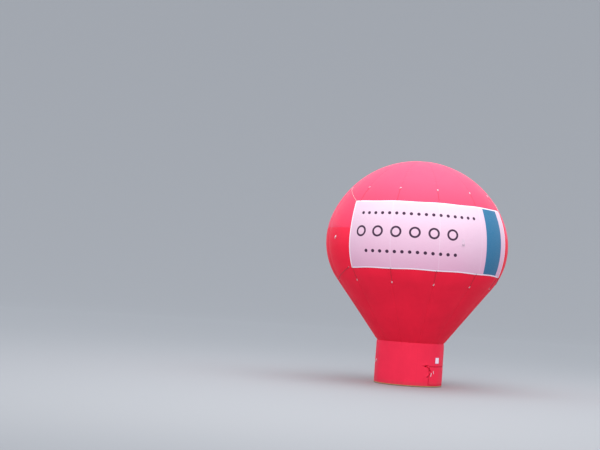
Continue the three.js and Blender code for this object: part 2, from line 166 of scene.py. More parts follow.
def clean_up(made, pole=False):
    """Turns every face outwards. With pole, the points that meet at an axis are first joined, and the
    edges that are left with no face removed."""
    mesh = bmesh.new()
    mesh.from_mesh(made.data)
    if pole:
        bmesh.ops.remove_doubles(mesh, verts=mesh.verts, dist=1e-5)
        bmesh.ops.delete(mesh, geom=[edge for edge in mesh.edges if not edge.link_faces], context="EDGES")
    bmesh.ops.recalc_face_normals(mesh, faces=mesh.faces)
    mesh.to_mesh(made.data)
    mesh.free()
    return made


def write_uv(made, uv, closed_columns=0):
    """A UV map from one UV for each point. On a grid that closes on itself, U goes on past the last of its
    columns, so that no quad is stretched back over the whole map."""
    corner = np.empty(len(made.data.loops), np.int32)
    made.data.loops.foreach_get("vertex_index", corner)
    flat = uv.reshape(-1, 2)[corner]
    if closed_columns:
        along_u = flat.reshape(-1, 4, 2)[..., 0]
        round_trip = along_u.max() * closed_columns / (closed_columns - 1)
        meeting = np.ptp(along_u, axis=1) > round_trip / 2
        along_u[meeting] += round_trip * (along_u[meeting] < round_trip / 2)
    made.data.uv_layers.new(name="UVMap").data.foreach_set("uv", flat.ravel())


def turned(name, profile, axis="Z", height=0.0, sides=96, sharp=35, closed=True):
    """A turned piece from a profile of radius and length pairs, about the Z axis or a level Y axis at a
    height. closed joins the profile's end to its start."""
    profile = np.asarray(profile, float)
    turns = full_turn(sides)
    r, h = profile[:, :1], profile[:, 1:]
    rings = np.stack([r * np.cos(turns), r * np.sin(turns), h + 0 * turns], -1)
    if axis == "Y":
        rings = rings[..., [0, 2, 1]] * [-1, 1, 1]
    faces = grid_quads(len(profile), sides, closed, True).reshape(-1, 4)
    made = new_object(name, rings + (0, 0, height), faces.tolist(), sharp)
    uv = np.broadcast_arrays(turns * profile[:, 0].max(), running_length(profile)[:, None])
    write_uv(made, np.stack(uv, -1), sides)
    return clean_up(made, pole=True)


print("helpers ready")

# %% [markdown]
# ## Floor and light
# The photo's day is overcast: the crown is bright and pinkish, and the cone below the ball is dark.
# A pale sky with one large soft light overhead gives the same. A weak front light keeps the drum and
# the banner clear.

# %% Floor, sky and lights
def add_node(tree, kind, inputs=(), **settings):
    """A node with its settings and inputs. An input is a number or colour, or the socket that feeds it."""
    node = tree.nodes.new(kind)
    for key, value in settings.items():
        setattr(node, key, value)
    for key, value in dict(inputs).items():
        socket = node.inputs[key]
        if isinstance(value, bpy.types.NodeSocket):
            tree.links.new(value, socket)
        elif socket.type == "RGBA":
            socket.default_value = (*value[:3], 1.0)
        else:
            socket.default_value = value
    return node


def new_material(name):
    """An empty node material, its UV map and its object's own coordinates."""
    material = bpy.data.materials.new(name)
    material.use_nodes = True
    material.node_tree.nodes.clear()
    place = add_node(material.node_tree, "ShaderNodeTexCoord")
    return material, place.outputs["UV"], place.outputs["Object"]


def shade(material, inputs):
    """Finishes a material with a Principled shader that has these inputs."""
    shader = add_node(material.node_tree, "ShaderNodeBsdfPrincipled", inputs)
    add_node(material.node_tree, "ShaderNodeOutputMaterial", {"Surface": shader.outputs["BSDF"]})
    return material


FLOOR_RADIUS = 46.0  # the flat floor, which reaches past the camera
SWEEP_RADIUS = 34.0  # the backdrop's curve, from the floor to its upright wall
WALL_HEIGHT = 70.0
FLOOR_PAINT = {"Base Color": (0.36, 0.36, 0.37), "Roughness": 0.9, "Specular IOR Level": 0.2}
SKY = {"Color": (0.86, 0.92, 1.0, 1), "Strength": 1.20}

floor_paint = shade(new_material("studio_floor")[0], FLOOR_PAINT)
sweep = [(FLOOR_RADIUS + SWEEP_RADIUS * math.sin(a), SWEEP_RADIUS * (1 - math.cos(a)))
         for a in np.linspace(0, math.pi / 2, 25)]
floor = turned("floor", [(0.01, 0.0), (3.0, 0.0), (FLOOR_RADIUS, 0.0)], closed=False)
backdrop = turned("backdrop", sweep + [(sweep[-1][0], WALL_HEIGHT)], closed=False)
for stage in (floor, backdrop):
    stage.data.materials.append(floor_paint)
backdrop.visible_diffuse = backdrop.visible_glossy = backdrop.visible_shadow = False

sky = bpy.data.worlds.new("sky")
sky.use_nodes = True
for key, value in SKY.items():
    sky.node_tree.nodes["Background"].inputs[key].default_value = value
bpy.context.scene.world = sky
bpy.context.scene.view_settings.view_transform = "Standard"


def soft_light(name, place, target, size, power, colour):
    """A square area light at a place, aimed at a target."""
    data = bpy.data.lights.new(name, "AREA")
    data.size = size
    data.energy = power
    data.color = colour
    light = add_object(name, data)
    light.location = place
    light.rotation_mode = "QUATERNION"
    light.rotation_quaternion = (Vector(target) - Vector(place)).to_track_quat("-Z", "Y")


soft_light("overcast", (1.6, -2.0, 16.0), (0, 0, 3.5), 14.0, 1150, (0.95, 0.97, 1.0))
soft_light("front", (-0.8, -17.0, 14.0), (0, 0, 2.0), 9.0, 1220, (1.0, 0.98, 0.95))
print("stage ready")

# %% [markdown]
# ## The blown-up form
# Air pulls cloth into a smooth meridian: a cone, a belly arc and a crown arc, above the drum. Every
# cloth piece here is laid on that form, so it is written once, as a point for an azimuth and a
# distance along the cloth. Azimuth 0 faces the front and grows to the right. The distance starts at
# the neck, where the drum meets the cone, and is negative on the drum.

# %% The meridian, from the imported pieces' boxes
GORES = 12
HALF_GORE = math.pi / GORES
neck_z, seam_z = (corner.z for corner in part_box("lower_gore_01"))
top_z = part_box("crown_cap")[1].z
drum_radius = -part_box("drum_panel_left")[0].x
belly_radius, belly_centre_r, belly_centre_z = 1.840, 0.660, 3.870
crown_radius = 2.555
crown_centre_z = top_z - crown_radius
CAP_RADIUS = 0.350
NECK_TURN = 0.040  # how much cloth the normal needs to turn from the drum's to the cone's

to_belly = math.hypot(belly_centre_r - drum_radius, belly_centre_z - neck_z)
cone_angle = (math.asin(belly_radius / to_belly)
              - math.atan2(drum_radius - belly_centre_r, belly_centre_z - neck_z))
cone_length = math.sqrt(to_belly**2 - belly_radius**2)
crown_join = math.atan2(belly_centre_z - crown_centre_z, belly_centre_r)
belly_length = belly_radius * (crown_join + cone_angle)
crown_start = cone_length + belly_length


def on_crown(angle):
    """The distance along the cloth at an angle above the crown arc's level."""
    return crown_start + crown_radius * (angle - crown_join)


pole_s, cap_start = on_crown(math.pi / 2), on_crown(math.acos(CAP_RADIUS / crown_radius))


def meridian(s):
    """Radius, height and outward normal at s metres along the cloth from the neck."""
    s = np.asarray(s, float)
    on_cone = np.clip(s, 0, cone_length)
    belly = (s - cone_length) / belly_radius - cone_angle
    crown = (s - crown_start) / crown_radius + crown_join
    where = [s < 0, s < cone_length, s < crown_start]
    neck_turn = np.clip(s / NECK_TURN, 0, 1)  # so that the drum's edge and the cone's move the same way
    cone_r, cone_z = drum_radius + on_cone * math.sin(cone_angle), neck_z + on_cone * math.cos(cone_angle)
    belly_r = belly_centre_r + belly_radius * np.cos(belly)
    belly_z = belly_centre_z + belly_radius * np.sin(belly)
    r = np.select(where, [drum_radius + 0 * s, cone_r, belly_r], crown_radius * np.cos(crown))
    z = np.select(where, [neck_z + s, cone_z, belly_z], crown_centre_z + crown_radius * np.sin(crown))
    tilt = np.select(where, [0 * s, -cone_angle * neck_turn, belly], crown)
    return r, z, np.cos(tilt), np.sin(tilt)


def along(z):
    """The distance along the cloth at a height on the cone, the belly or the lower crown."""
    if z < belly_centre_z - belly_radius * math.sin(cone_angle):
        return (z - neck_z) / math.cos(cone_angle)
    if z < belly_centre_z + belly_radius * math.sin(crown_join):
        return cone_length + belly_radius * (math.asin((z - belly_centre_z) / belly_radius) + cone_angle)
    return on_crown(math.asin((z - crown_centre_z) / crown_radius))


seam_s = along(seam_z)
print("cloth from neck to top:", round(pole_s, 3), "m; seam at", round(seam_s, 3))

# %% [markdown]
# ## What the seams and ties do to the cloth
# A gore bulges between its seams. A seam gathers the cloth a little, so short puckers run out from it,
# and each sewn-on ring or patch pulls its own dent. These are small sums of waves that fade with the
# distance from the seam. The same function shapes all gores, so neighbours meet exactly. In the tables,
# a height is how far the cloth moves, and a reach is how far from the seam or the ring that fades.

# %% The drum's relief
SEAM_DEPTH = 0.012  # a seam's depth below the gore's middle, as a share of the radius
FULL_DEPTH_RADIUS = 0.9  # the seams get shallower from here up to the cap
flap_low, flap_high = (corner.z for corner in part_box("access_flap"))
# The pit beside the flap's upper corner: its middle, its depth, and how far it reaches.
DENT = {"azimuth": 32.2, "z": flap_high, "depth": 0.080, "wide": 0.048, "above": 0.032, "below": 0.016}
LIP = {"height": 0.014, "wide": 0.080, "above": 0.056, "high": 0.018}  # the fold over the pit
CREASES = (  # start and end as azimuth and height, then the depth and the width
    ((34.0, flap_high + 0.004), (43.6, flap_high - 0.150), 0.026, 0.014),
    ((43.2, flap_high - 0.165), (33.8, flap_high - 0.310), 0.028, 0.021),
    ((22.5, flap_high + 0.014), (30.0, flap_high + 0.010), 0.010, 0.014),
)
ZIP_PULL = {"height": -0.007, "reach": 0.015}
BARREL = 0.007  # how far the drum's wall bulges
HEM_GATHER = {"height": 0.0045, "reach": 0.07}
DRUM_RINGS = (-75.0, 90.0)  # azimuths
DRUM_DENT = {"height": -0.010, "wide": 0.15, "rays": 6, "reach": 0.09}
RAY_HEIGHT = 0.035  # of the short folds round a patch, for each metre from its middle
drum_ring_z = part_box("drum_left_patch")[0].z + 0.04


def bump(distance, width):
    """A smooth bump, 1 at no distance."""
    return np.exp(-((distance / width) ** 2))


def seam_of(azimuth):
    """The nearest seam's number, and how far across the half gore the point lies: 1 on the seam."""
    gore = np.round(azimuth / 30.0)
    across = (azimuth - gore * 30.0) / 15.0
    number = np.where(across >= 0, gore, gore - 1) % GORES
    return number, np.abs(across)


def gore_depth(s, r):
    """How deep the seam's valley is at a point of the meridian."""
    return SEAM_DEPTH * r * np.clip((r - CAP_RADIUS) / (FULL_DEPTH_RADIUS - CAP_RADIUS), 0, 1)


def crease(azimuth, z, start, end, depth, width):
    """A fold in the drum's cloth from one azimuth and height to another, with a ridge on its upper side."""
    x, up = np.radians(azimuth - start[0]) * drum_radius, z - start[1]
    end_x, end_up = math.radians(end[0] - start[0]) * drum_radius, end[1] - start[1]
    length = math.hypot(end_x, end_up)
    ahead = (x * end_x + up * end_up) / length
    beside = (x * end_up - up * end_x) / length * np.sign(end_x)
    fade = np.clip(ahead / 0.03, 0, 1) * np.clip((length - ahead) / 0.04, 0, 1)
    return depth * fade * (0.7 * bump(beside + 1.6 * width, width) - bump(beside, width))


def drum_folds(azimuth, z):
    """The dent beside the flap, the lip over it and the creases that run from it: their height, and how
    much painted shade lies in them, from 0 to 1."""
    x, up = (azimuth - DENT["azimuth"]) * math.pi / 180 * drum_radius, z - DENT["z"]
    dent = bump(x, DENT["wide"]) * bump(up, np.where(up > 0, DENT["above"], DENT["below"]))
    lip = LIP["height"] * bump(x, LIP["wide"]) * bump(up - LIP["above"], LIP["high"])
    creases = sum(crease(azimuth, z, *fold) for fold in CREASES)
    # Painted shade: the pit and the creases are painted darker the deeper they sink.
    dirt_and_shade = np.clip(1.3 * np.maximum(dent, -creases / CREASES[0][2]) - 0.3, 0, 1)
    return lip + creases - DENT["depth"] * dent, dirt_and_shade


def sewn_dent(azimuth, up, r, at, dent):
    """The dent and the star of short folds round something sewn on at an azimuth, seen from up above it."""
    sideways = np.radians((azimuth - at + 180) % 360 - 180) * r
    reach = np.hypot(sideways, up)
    star = np.cos(dent["rays"] * np.arctan2(up, sideways) + at) * np.exp(-reach / dent["reach"])
    return dent["height"] * bump(reach, dent["wide"]) + RAY_HEIGHT * reach * star


def drum_relief(azimuth, s):
    """What the drum's cloth adds: a slight barrel, gathers at the hem, the folds and the rings' pull."""
    z = neck_z + s
    angle = np.radians(azimuth)
    gathers = np.sin(44 * angle + 1.3 * np.sin(6 * angle)) * np.exp(-z / HEM_GATHER["reach"])
    at_flap = np.clip((azimuth - 36.0) / 2.0, 0, 1) * np.clip((89.0 - azimuth) / 2.0, 0, 1)
    zip_valley = ZIP_PULL["height"] * at_flap * bump(z - flap_high - 0.003, ZIP_PULL["reach"])
    return (BARREL * np.sin(math.pi * np.clip(z / neck_z, 0, 1)) + HEM_GATHER["height"] * gathers
            + zip_valley + drum_folds(azimuth, z)[0]
            + sum(sewn_dent(azimuth, z - drum_ring_z, drum_radius, ring, DRUM_DENT) for ring in DRUM_RINGS))


print("creases beside the flap:", len(CREASES))

# %% The gores' relief and the cloth's points
RING_ROWS = {"upper": 5.275, "lower": 2.77}  # heights of the webbing rings on the seams
ring_s = {row: along(z) for row, z in RING_ROWS.items()}
RING_PULL = {"upper": 0.006, "lower": 0.009}  # how far each row's rings lift the seam
PATCH_AZIMUTHS = (-60.0, 30.0, 120.0, 210.0)
PATCH_DENT = {"height": -0.006, "wide": 0.16, "rays": 7, "reach": 0.10}
PUCKER = {"height": 0.0030, "pitch": 0.135, "reach": 0.075}
SEAM_VALLEY = {"height": -0.0045, "reach": 0.012}
NECK_GATHER = {"height": 0.0045, "reach": 0.10, "valley": -0.010, "wide": 0.03}
LEVEL_SEAM = {"height": -0.0035, "wide": 0.014, "gather": 0.0016, "reach": 0.07}
patch_s = along(sum(corner.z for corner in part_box("equator_back_left_patch")) / 2)


def relief(azimuth, s, r):
    """How far the cloth stands out of the smooth gore, in metres."""
    number, across = seam_of(azimuth)
    from_seam = (1 - across) * HALF_GORE * r
    phase = 2 * math.pi * np.modf(np.abs(np.sin(number * 12.9898 + 4.1) * 43758.5453))[0]
    swell = 0.6 + 0.4 * np.sin(2 * math.pi * s / 0.83 + 2 * phase)
    wave = np.sin(2 * math.pi * s / PUCKER["pitch"] + phase + 1.7 * np.sin(2 * math.pi * s / 0.71 + phase))
    pucker = PUCKER["height"] * swell * wave * np.exp(-from_seam / PUCKER["reach"]) * across
    stitched = SEAM_VALLEY["height"] * bump(from_seam, SEAM_VALLEY["reach"])
    above_neck = np.clip(1 + s / 0.25, 0.1, 1)  # the drum has no seam below most of the ball's
    angle = np.radians(azimuth)
    gathers = np.sin(52 * angle + 1.2 * np.sin(5 * angle + 0.7)) * (0.65 + 0.35 * np.sin(9 * angle + 2.0))
    neck = (NECK_GATHER["height"] * gathers * np.exp(-np.abs(s) / NECK_GATHER["reach"])
            + NECK_GATHER["valley"] * bump(s, NECK_GATHER["wide"]))
    crosswise = np.sin(40 * angle + 1.5 * np.sin(7 * angle))
    seam_row = (LEVEL_SEAM["height"] * bump(s - seam_s, LEVEL_SEAM["wide"])
                + LEVEL_SEAM["gather"] * crosswise * np.exp(-np.abs(s - seam_s) / LEVEL_SEAM["reach"]))
    slack = 0.0035 * np.sin(2 * angle + 1.0) * np.sin(1.6 * s) + 0.0025 * np.sin(5 * angle + 0.6 * s)
    off_pole = np.clip(r / CAP_RADIUS, 0, 1)  # at the top all azimuths meet in one point
    height = ((pucker + stitched) * above_neck + slack) * off_pole + neck + seam_row
    for row, pull in RING_PULL.items():
        reach = np.hypot(from_seam, s - ring_s[row])
        height = height + pull * bump(reach, 0.045) - 0.4 * pull * bump(reach, 0.13)
    height = height + sum(sewn_dent(azimuth, s - patch_s, r, patch, PATCH_DENT) for patch in PATCH_AZIMUTHS)
    return height + np.where(s < 0, drum_relief(azimuth, s), 0.0)


def cloth_point(azimuth, s, lift=0.0, follow=1.0, folds=1.0):
    """Points of the cloth at arrays of azimuth and distance. follow is how far it goes into the valleys."""
    r, z, out_r, out_z = meridian(s)
    across = seam_of(azimuth)[1]
    on_drum = np.clip(-s / 0.30, 0, 1)  # there the valleys are round
    valley = across**2 + on_drum * ((1 - np.cos(math.pi * across)) / 2 - across**2)
    out = lift + folds * relief(azimuth, s, r)
    radius = r - follow * gore_depth(s, r) * valley + out_r * out
    angle = np.radians(azimuth)
    return np.stack([radius * np.sin(angle), -radius * np.cos(angle), z + out_z * out], -1)


print("ring rows along the cloth:", {row: round(value, 3) for row, value in ring_s.items()})

# %% [markdown]
# ## Cloth shells
# A cloth panel is made as a closed shell: an outer grid of points, an inner one, and narrow walls
# round the edges and round any opening. UV coordinates are in metres along and across the cloth, so
# the weave in the material keeps its true scale, and an attribute says how far the next seam is.

# %% Build a closed shell from two grids
CLOTH = 0.003  # thickness of the shells that show as cloth


def shell(name, outer, inner, uv, cloth=None, closed=False, **attributes):
    """A closed piece between two grids of points, seen from outside with rows up and columns right. uv is
    a pair of grids, cloth masks the quads that exist, attributes are further numbers for each grid point,
    and a closed grid's last column meets its first."""
    rows, columns = outer.shape[:2]
    quads = grid_quads(rows, columns, False, closed)
    a, b, c, d = np.moveaxis(quads, -1, 0)
    cloth = np.ones(a.shape, bool) if cloth is None else cloth
    faces = [quads[cloth], quads[cloth][:, ::-1] + rows * columns]
    around = np.pad(np.pad(cloth, ((1, 1), (0, 0))), ((0, 0), (1, 1)), mode="wrap" if closed else "constant")
    below, beside, above, before = around[:-2, 1:-1], around[1:-1, 2:], around[2:, 1:-1], around[1:-1, :-2]
    for near, far, neighbour in ((a, b, below), (b, c, beside), (c, d, above), (d, a, before)):
        start, end = near[cloth & ~neighbour], far[cloth & ~neighbour]
        faces.append(np.stack([end, start, start + rows * columns, end + rows * columns], -1))
    faces = np.concatenate(faces)
    used, compact = np.unique(faces, return_inverse=True)

    def for_each_point(grid):
        return np.concatenate([grid.reshape(rows * columns, -1)] * 2)[used]

    points = np.concatenate([outer.reshape(-1, 3), inner.reshape(-1, 3)])[used]
    made = new_object(name, points, compact.reshape(faces.shape).tolist(), 55)
    u, v = np.broadcast_arrays(*uv)
    write_uv(made, for_each_point(np.stack([u, v], -1)), columns if closed else 0)
    for key, values in attributes.items():
        values = np.broadcast_to(values, (rows, columns))
        layer = made.data.attributes.new(key, "FLOAT", "POINT")
        layer.data.foreach_set("value", for_each_point(values).ravel().astype(np.float32))
    return made


def cloth_shell(name, azimuth, s, lifts, uv, **more):
    """A shell that follows the balloon's cloth, between two heights above it."""
    return shell(name, *(cloth_point(azimuth, s, lift) for lift in lifts), uv, **more)


def columns_of_gore():
    """Shares across a gore from -1 to 1, closer together near the seams."""
    half = np.array([0, 0.12, 0.24, 0.36, 0.47, 0.57, 0.66, 0.74, 0.81, 0.87, 0.915, 0.95, 0.975, 0.99, 1])
    return np.concatenate([-half[:0:-1], half])


def rows_between(low, high, step=0.024, fine=0.008):
    """Distances along the cloth, with one fine row next to each end."""
    inner = np.linspace(low + fine, high - fine, max(2, round((high - low) / step)))
    return np.concatenate([[low], inner, [high]])


print("columns across a gore:", len(columns_of_gore()))

# %% [markdown]
# ## Balloon cloth
# The real cloth is polyester with a coating: a fine weave and a soft satin. The weave and the two rows
# of stitches along a seam are bump, read from the UV map and the seam attribute. Higher up the colour
# is mixed by height to a paler pink, a painted highlight for the sky's light on the upper ball. Dust
# darkens the lowest hand's breadth, painted shade darkens the folds beside the flap, and the red drifts
# a little, because cloth fades unevenly. Each helper here adds one or two nodes to the tree that its
# inputs belong to, so a finish reads like a sum.

# %% Node helpers
def tree_of(*values):
    """The node tree of the first socket among some values."""
    return next(value.id_data for value in values if isinstance(value, bpy.types.NodeSocket))


def maths(operation, *values):
    """The result of one Math node."""
    node = add_node(tree_of(*values), "ShaderNodeMath", dict(enumerate(values)), operation=operation)
    return node.outputs[0]


times, plus, minus = partial(maths, "MULTIPLY"), partial(maths, "ADD"), partial(maths, "SUBTRACT")
smallest, largest, size_of = partial(maths, "MINIMUM"), partial(maths, "MAXIMUM"), partial(maths, "ABSOLUTE")


def ranged(value, low, high, to_low=0.0, to_high=1.0):
    """A number stretched from one range to another, and held inside it."""
    inputs = {"Value": value, "From Min": low, "From Max": high, "To Min": to_low, "To Max": to_high}
    return add_node(tree_of(value), "ShaderNodeMapRange", inputs).outputs["Result"]


def inside(value, low, high, soft=0.003):
    """1 where a number lies between two others, with a soft edge."""
    return times(ranged(value, low - soft, low + soft), ranged(value, high + soft, high - soft))


def mixed(factor, a, b):
    """Two colours, each a colour or a socket, mixed by a factor."""
    inputs = {0: factor, 6: a, 7: b}
    return add_node(tree_of(factor, a, b), "ShaderNodeMix", inputs, data_type="RGBA").outputs[2]


def noise(vector, scale, detail=3.0, rough=0.5):
    """A noise from 0 to 1."""
    inputs = {"Vector": vector, "Scale": scale, "Detail": detail, "Roughness": rough}
    return add_node(tree_of(vector), "ShaderNodeTexNoise", inputs).outputs["Fac"]


def drift(low, high, *noise_inputs):
    """A number that drifts over the piece between two values."""
    return ranged(noise(*noise_inputs), 0.3, 0.7, low, high)


def parts_of(vector):
    """A vector's X, Y and Z."""
    return add_node(tree_of(vector), "ShaderNodeSeparateXYZ", {"Vector": vector}).outputs


def weave(uv, threads):
    """The height of a plain weave with so many threads to a metre, from 0 to 1."""
    x, y, _ = parts_of(uv)
    return times(*(size_of(maths("SINE", times(value, threads * math.pi))) for value in (x, y)))


def bumped(height, distance, strength, before=None):
    """A bump normal, laid on an earlier one if there is one."""
    inputs = {"Height": height, "Distance": distance, "Strength": strength}
    if before is not None:
        inputs["Normal"] = before
    return add_node(tree_of(height), "ShaderNodeBump", inputs).outputs["Normal"]


def attribute(material, name):
    """A number stored on the mesh."""
    return add_node(material.node_tree, "ShaderNodeAttribute", attribute_name=name).outputs["Fac"]


def grey(colour, share):
    """A colour with its brightness scaled."""
    return tuple(min(1.0, c * share) for c in colour)


print("node helpers ready")

# %% Balloon cloth
CLOTH_THREADS = 900  # to a metre, as coarse as a render can still show
STITCH_OFFSET = 0.007  # from the seam to each row of stitches
STITCH_PITCH = 0.009
DUST, DUST_HEIGHT = (0.30, 0.10, 0.09), 0.16
SKY_LIT_HEIGHTS = (3.6, 5.5)  # between them the colour is painted more and more towards a paler pink, for the sky's light
# Painted shade: the colour that the pit and the creases beside the flap are painted.
FOLD_SHADE_COLOUR = (0.20, 0.003, 0.014)
# Painted sky light: the paler pinks that the cloth is painted towards higher up, on the lower gores and the
# crown.
SKY_LIT_RED, SKY_LIT_PINK = (0.91, 0.060, 0.125), (0.91, 0.090, 0.170)


def balloon_cloth(name, colour, sky_lit, sheen=0.0):
    """Coated red cloth for pieces with a UV map in metres and a from_seam attribute."""
    material, uv, spot = new_material(name)
    base = mixed(drift(0.0, 1.0, spot, 0.9, 4.0, 0.6), grey(colour, 0.93), grey(colour, 1.06))
    height = parts_of(spot)["Z"]
    # Painted sky light: higher up the colour is painted towards a paler pink.
    base = mixed(ranged(height, *SKY_LIT_HEIGHTS), base, sky_lit)
    seam = attribute(material, "from_seam")
    base = mixed(times(ranged(seam, 0.010, 0.002), 0.09), base, grey(colour, 0.6))
    splash = plus(height, ranged(noise(spot, 7.0, 5.0, 0.65), 0.2, 0.8, 0.09, -0.09))
    base = mixed(ranged(splash, DUST_HEIGHT, 0.0, 0.0, 0.30), base, DUST)
    # Painted shade in the pit and the creases beside the flap, read from the attribute the drum's folds
    # carry.
    base = mixed(times(attribute(material, "in_fold"), 0.7), base, FOLD_SHADE_COLOUR)
    run = plus(*parts_of(uv)[:2])  # grows along upright and level seams
    dash = ranged(maths("SINE", times(run, 2 * math.pi / STITCH_PITCH)), -0.2, 0.3)
    row = ranged(size_of(minus(seam, STITCH_OFFSET)), 0.0016, 0.0004)
    normal = bumped(weave(uv, CLOTH_THREADS), 0.00035, 0.5)
    normal = bumped(noise(uv, 14.0, 6.0, 0.62), 0.0045, 0.32, normal)
    return shade(material, {
        "Base Color": base, "Roughness": drift(0.50, 0.62, spot, 3.0), "Specular IOR Level": 0.05,
        "Normal": bumped(times(dash, row), 0.0012, 0.9, normal),
        "Sheen Weight": sheen, "Sheen Roughness": 0.42, "Sheen Tint": (1.0, 0.80, 0.90),
    })


# The three reds are lit and shaded copies of one cloth: the crown's is pinker, painted sky light, and the
# drum's is pinker, painted light from the bright ground in front of it.
red_cloth = balloon_cloth("balloon_cloth", (0.91, 0.019, 0.052), SKY_LIT_RED)
crown_cloth = balloon_cloth("crown_cloth", (0.91, 0.036, 0.094), SKY_LIT_PINK, 0.08)
low_cloth = balloon_cloth("drum_cloth", (0.91, 0.030, 0.077), SKY_LIT_RED)
print("cloth materials:", red_cloth.name, crown_cloth.name, low_cloth.name)

# %% [markdown]
# ## The twelve gores
# Each gore is an upper and a lower panel, joined by a level seam a little above the middle. Every
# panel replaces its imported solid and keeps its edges, but has a few thousand faces for the bulge, the
# puckers and the dents. The crown cap is the small round piece that covers the gores' points.

# %% Finish a piece
FOLD_WIDTH = 0.030  # the flap's sewn edge, where its cloth bends when it opens; its columns are close together over this width
BENDS_AT_HINGE = ("flap_cloth", "flap_zip_tape", "flap_zip_teeth")


def finish_piece(made, material, body="envelope", stands_for=None):
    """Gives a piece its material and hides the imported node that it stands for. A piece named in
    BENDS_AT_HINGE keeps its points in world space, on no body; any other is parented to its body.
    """
    made.data.materials.clear()
    made.data.materials.append(material)
    if made.name in BENDS_AT_HINGE:
        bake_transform(made)
    else:
        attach(made, body)
    if stands_for:
        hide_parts(stands_for)
    return made


# %% Sew the gores and the cap
def gore_panel(name, middle, distances, material, stands_for):
    """One cloth panel of a gore, between the first and the last of its distances along the cloth."""
    azimuth, s = np.meshgrid(middle + 15.0 * columns_of_gore(), distances)
    r = meridian(s)[0]
    to_side = (1 - np.abs(azimuth - middle) / 15.0) * HALF_GORE * r
    from_seam = np.minimum(to_side, np.minimum(s - distances[0], distances[-1] - s))
    made = cloth_shell(
        name, azimuth, s, (0, -CLOTH), (np.radians(azimuth - middle) * r, s), from_seam=from_seam)
    return finish_piece(made, material, stands_for=stands_for)


GORE_KINDS = (  # piece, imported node, first and last distance along the cloth, and material
    ("ball_cloth", "upper_gore", seam_s, cap_start, crown_cloth),
    ("cone_cloth", "lower_gore", 0.0, seam_s, red_cloth),
)
gore_pieces = [
    gore_panel(f"{piece}_{k + 1:02d}", 30.0 * k, rows_between(low, high), material, f"{node}_{k + 1:02d}")
    for k in range(GORES) for piece, node, low, high, material in GORE_KINDS
]

CAP_COLUMNS = 96
CAP_ROWS = np.array([1.0, 0.985, 0.92, 0.8, 0.64, 0.46, 0.28, 0.1, 0.0])  # shares of the way from the top
cap_azimuth, cap_s = np.meshgrid(
    np.arange(CAP_COLUMNS) * 360.0 / CAP_COLUMNS, pole_s - (pole_s - cap_start) * CAP_ROWS)
cap_flat = np.moveaxis(cloth_point(cap_azimuth, cap_s), -1, 0)[:2]
cap = cloth_shell(
    "crown_cap_cloth", cap_azimuth, cap_s, (0, -CLOTH), cap_flat, closed=True, from_seam=cap_s - cap_start)
finish_piece(clean_up(cap, pole=True), crown_cloth, stands_for="crown_cap")
print("points at the top:", sum(math.hypot(point.co.x, point.co.y) < 1e-5 for point in cap.data.vertices))
print("gore panels:", len(gore_pieces), "faces:", [len(piece.data.polygons) for piece in gore_pieces[:2]])

# %% [markdown]
# ## Drum, flap and ground sheet
# The drum is three upright panels of the same cloth. The right one has an opening for ballast, shut
# by a flap with a zip, and the back one has the fan's hole. The grids get denser here, because the
# dent at the flap's corner and the rings' pull show in the photo. The flap is a piece of its own,
# because it swings, so its zip is in two halves: one on the panel and one on the flap.

# %% Sew the drum
PANEL_SEAMS = (15.0, 135.0, 255.0)  # azimuths of the upright seams
FLAP_FROM, FLAP_TO = 38.0, 88.0
FLAP_GAP = 0.005  # taken up by the zip's teeth
SEAM_GAP = 0.0003  # between the flap's sewn edge and the panel
FAN_Z = sum(corner.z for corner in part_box("fan_duct")) / 2
HOLE_RADIUS = 0.214
HOLE_HEM = 0.012
RING_RADII = (HOLE_RADIUS - HOLE_HEM, HOLE_RADIUS, 0.235, 0.262)  # of the doubled cloth round the hole
hem_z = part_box("drum_panel_left")[0].z
flap_edges = (flap_low - FLAP_GAP, flap_high + FLAP_GAP)  # the opening's lower and upper edge


def spread(*stops, step):
    """Numbers through all the stops, evenly spaced between each two, no further apart than the step."""
    parts = [np.linspace(a, b, max(1, math.ceil(abs(b - a) / step)) + 1) for a, b in zip(stops, stops[1:])]
    return np.concatenate([part[:-1] for part in parts] + [[stops[-1]]])


def spreads(*runs):
    """Several spreads in one, each a step and its stops, where each begins at the last one's end."""
    parts = [spread(*stops, step=step) for step, *stops in runs]
    return np.concatenate([part[:-1] for part in parts[:-1]] + [parts[-1]])


def drum_degrees(length):
    """The turn that a length along the drum's wall makes."""
    return np.degrees(length / drum_radius)


def drum_cloth(name, azimuths, heights, stands_for, body="envelope", keep=None):
    """A piece of the drum's cloth. keep tells, for the quads' middles, where there is cloth."""
    azimuth, z = np.meshgrid(azimuths, heights)
    s = z - neck_z
    sides = [np.radians(np.abs((azimuth - seam + 180) % 360 - 180)) * drum_radius for seam in PANEL_SEAMS]
    middles = [(grid[1:, 1:] + grid[:-1, :-1]) / 2 for grid in (azimuth, z)]
    # The fold attribute holds the painted shade for the pit and the creases beside the flap.
    made = cloth_shell(
        name, azimuth, s, (0, -CLOTH), (np.radians(azimuth) * drum_radius, s), cloth=keep and keep(*middles),
        from_seam=np.minimum.reduce(sides + [z - hem_z, np.abs(s)]), in_fold=drum_folds(azimuth, z)[1])
    return finish_piece(made, low_cloth, body, stands_for=stands_for)


def beside_opening(azimuth, z):
    """Where the right panel has cloth."""
    return (azimuth < FLAP_FROM) | (azimuth > FLAP_TO) | (z < flap_edges[0]) | (z > flap_edges[1])


def outside_hole(azimuth, z):
    """Where the back panel has cloth."""
    return np.hypot(drum_radius * np.sin(np.radians(azimuth - 180)), z - FAN_Z) > HOLE_RADIUS + HOLE_HEM


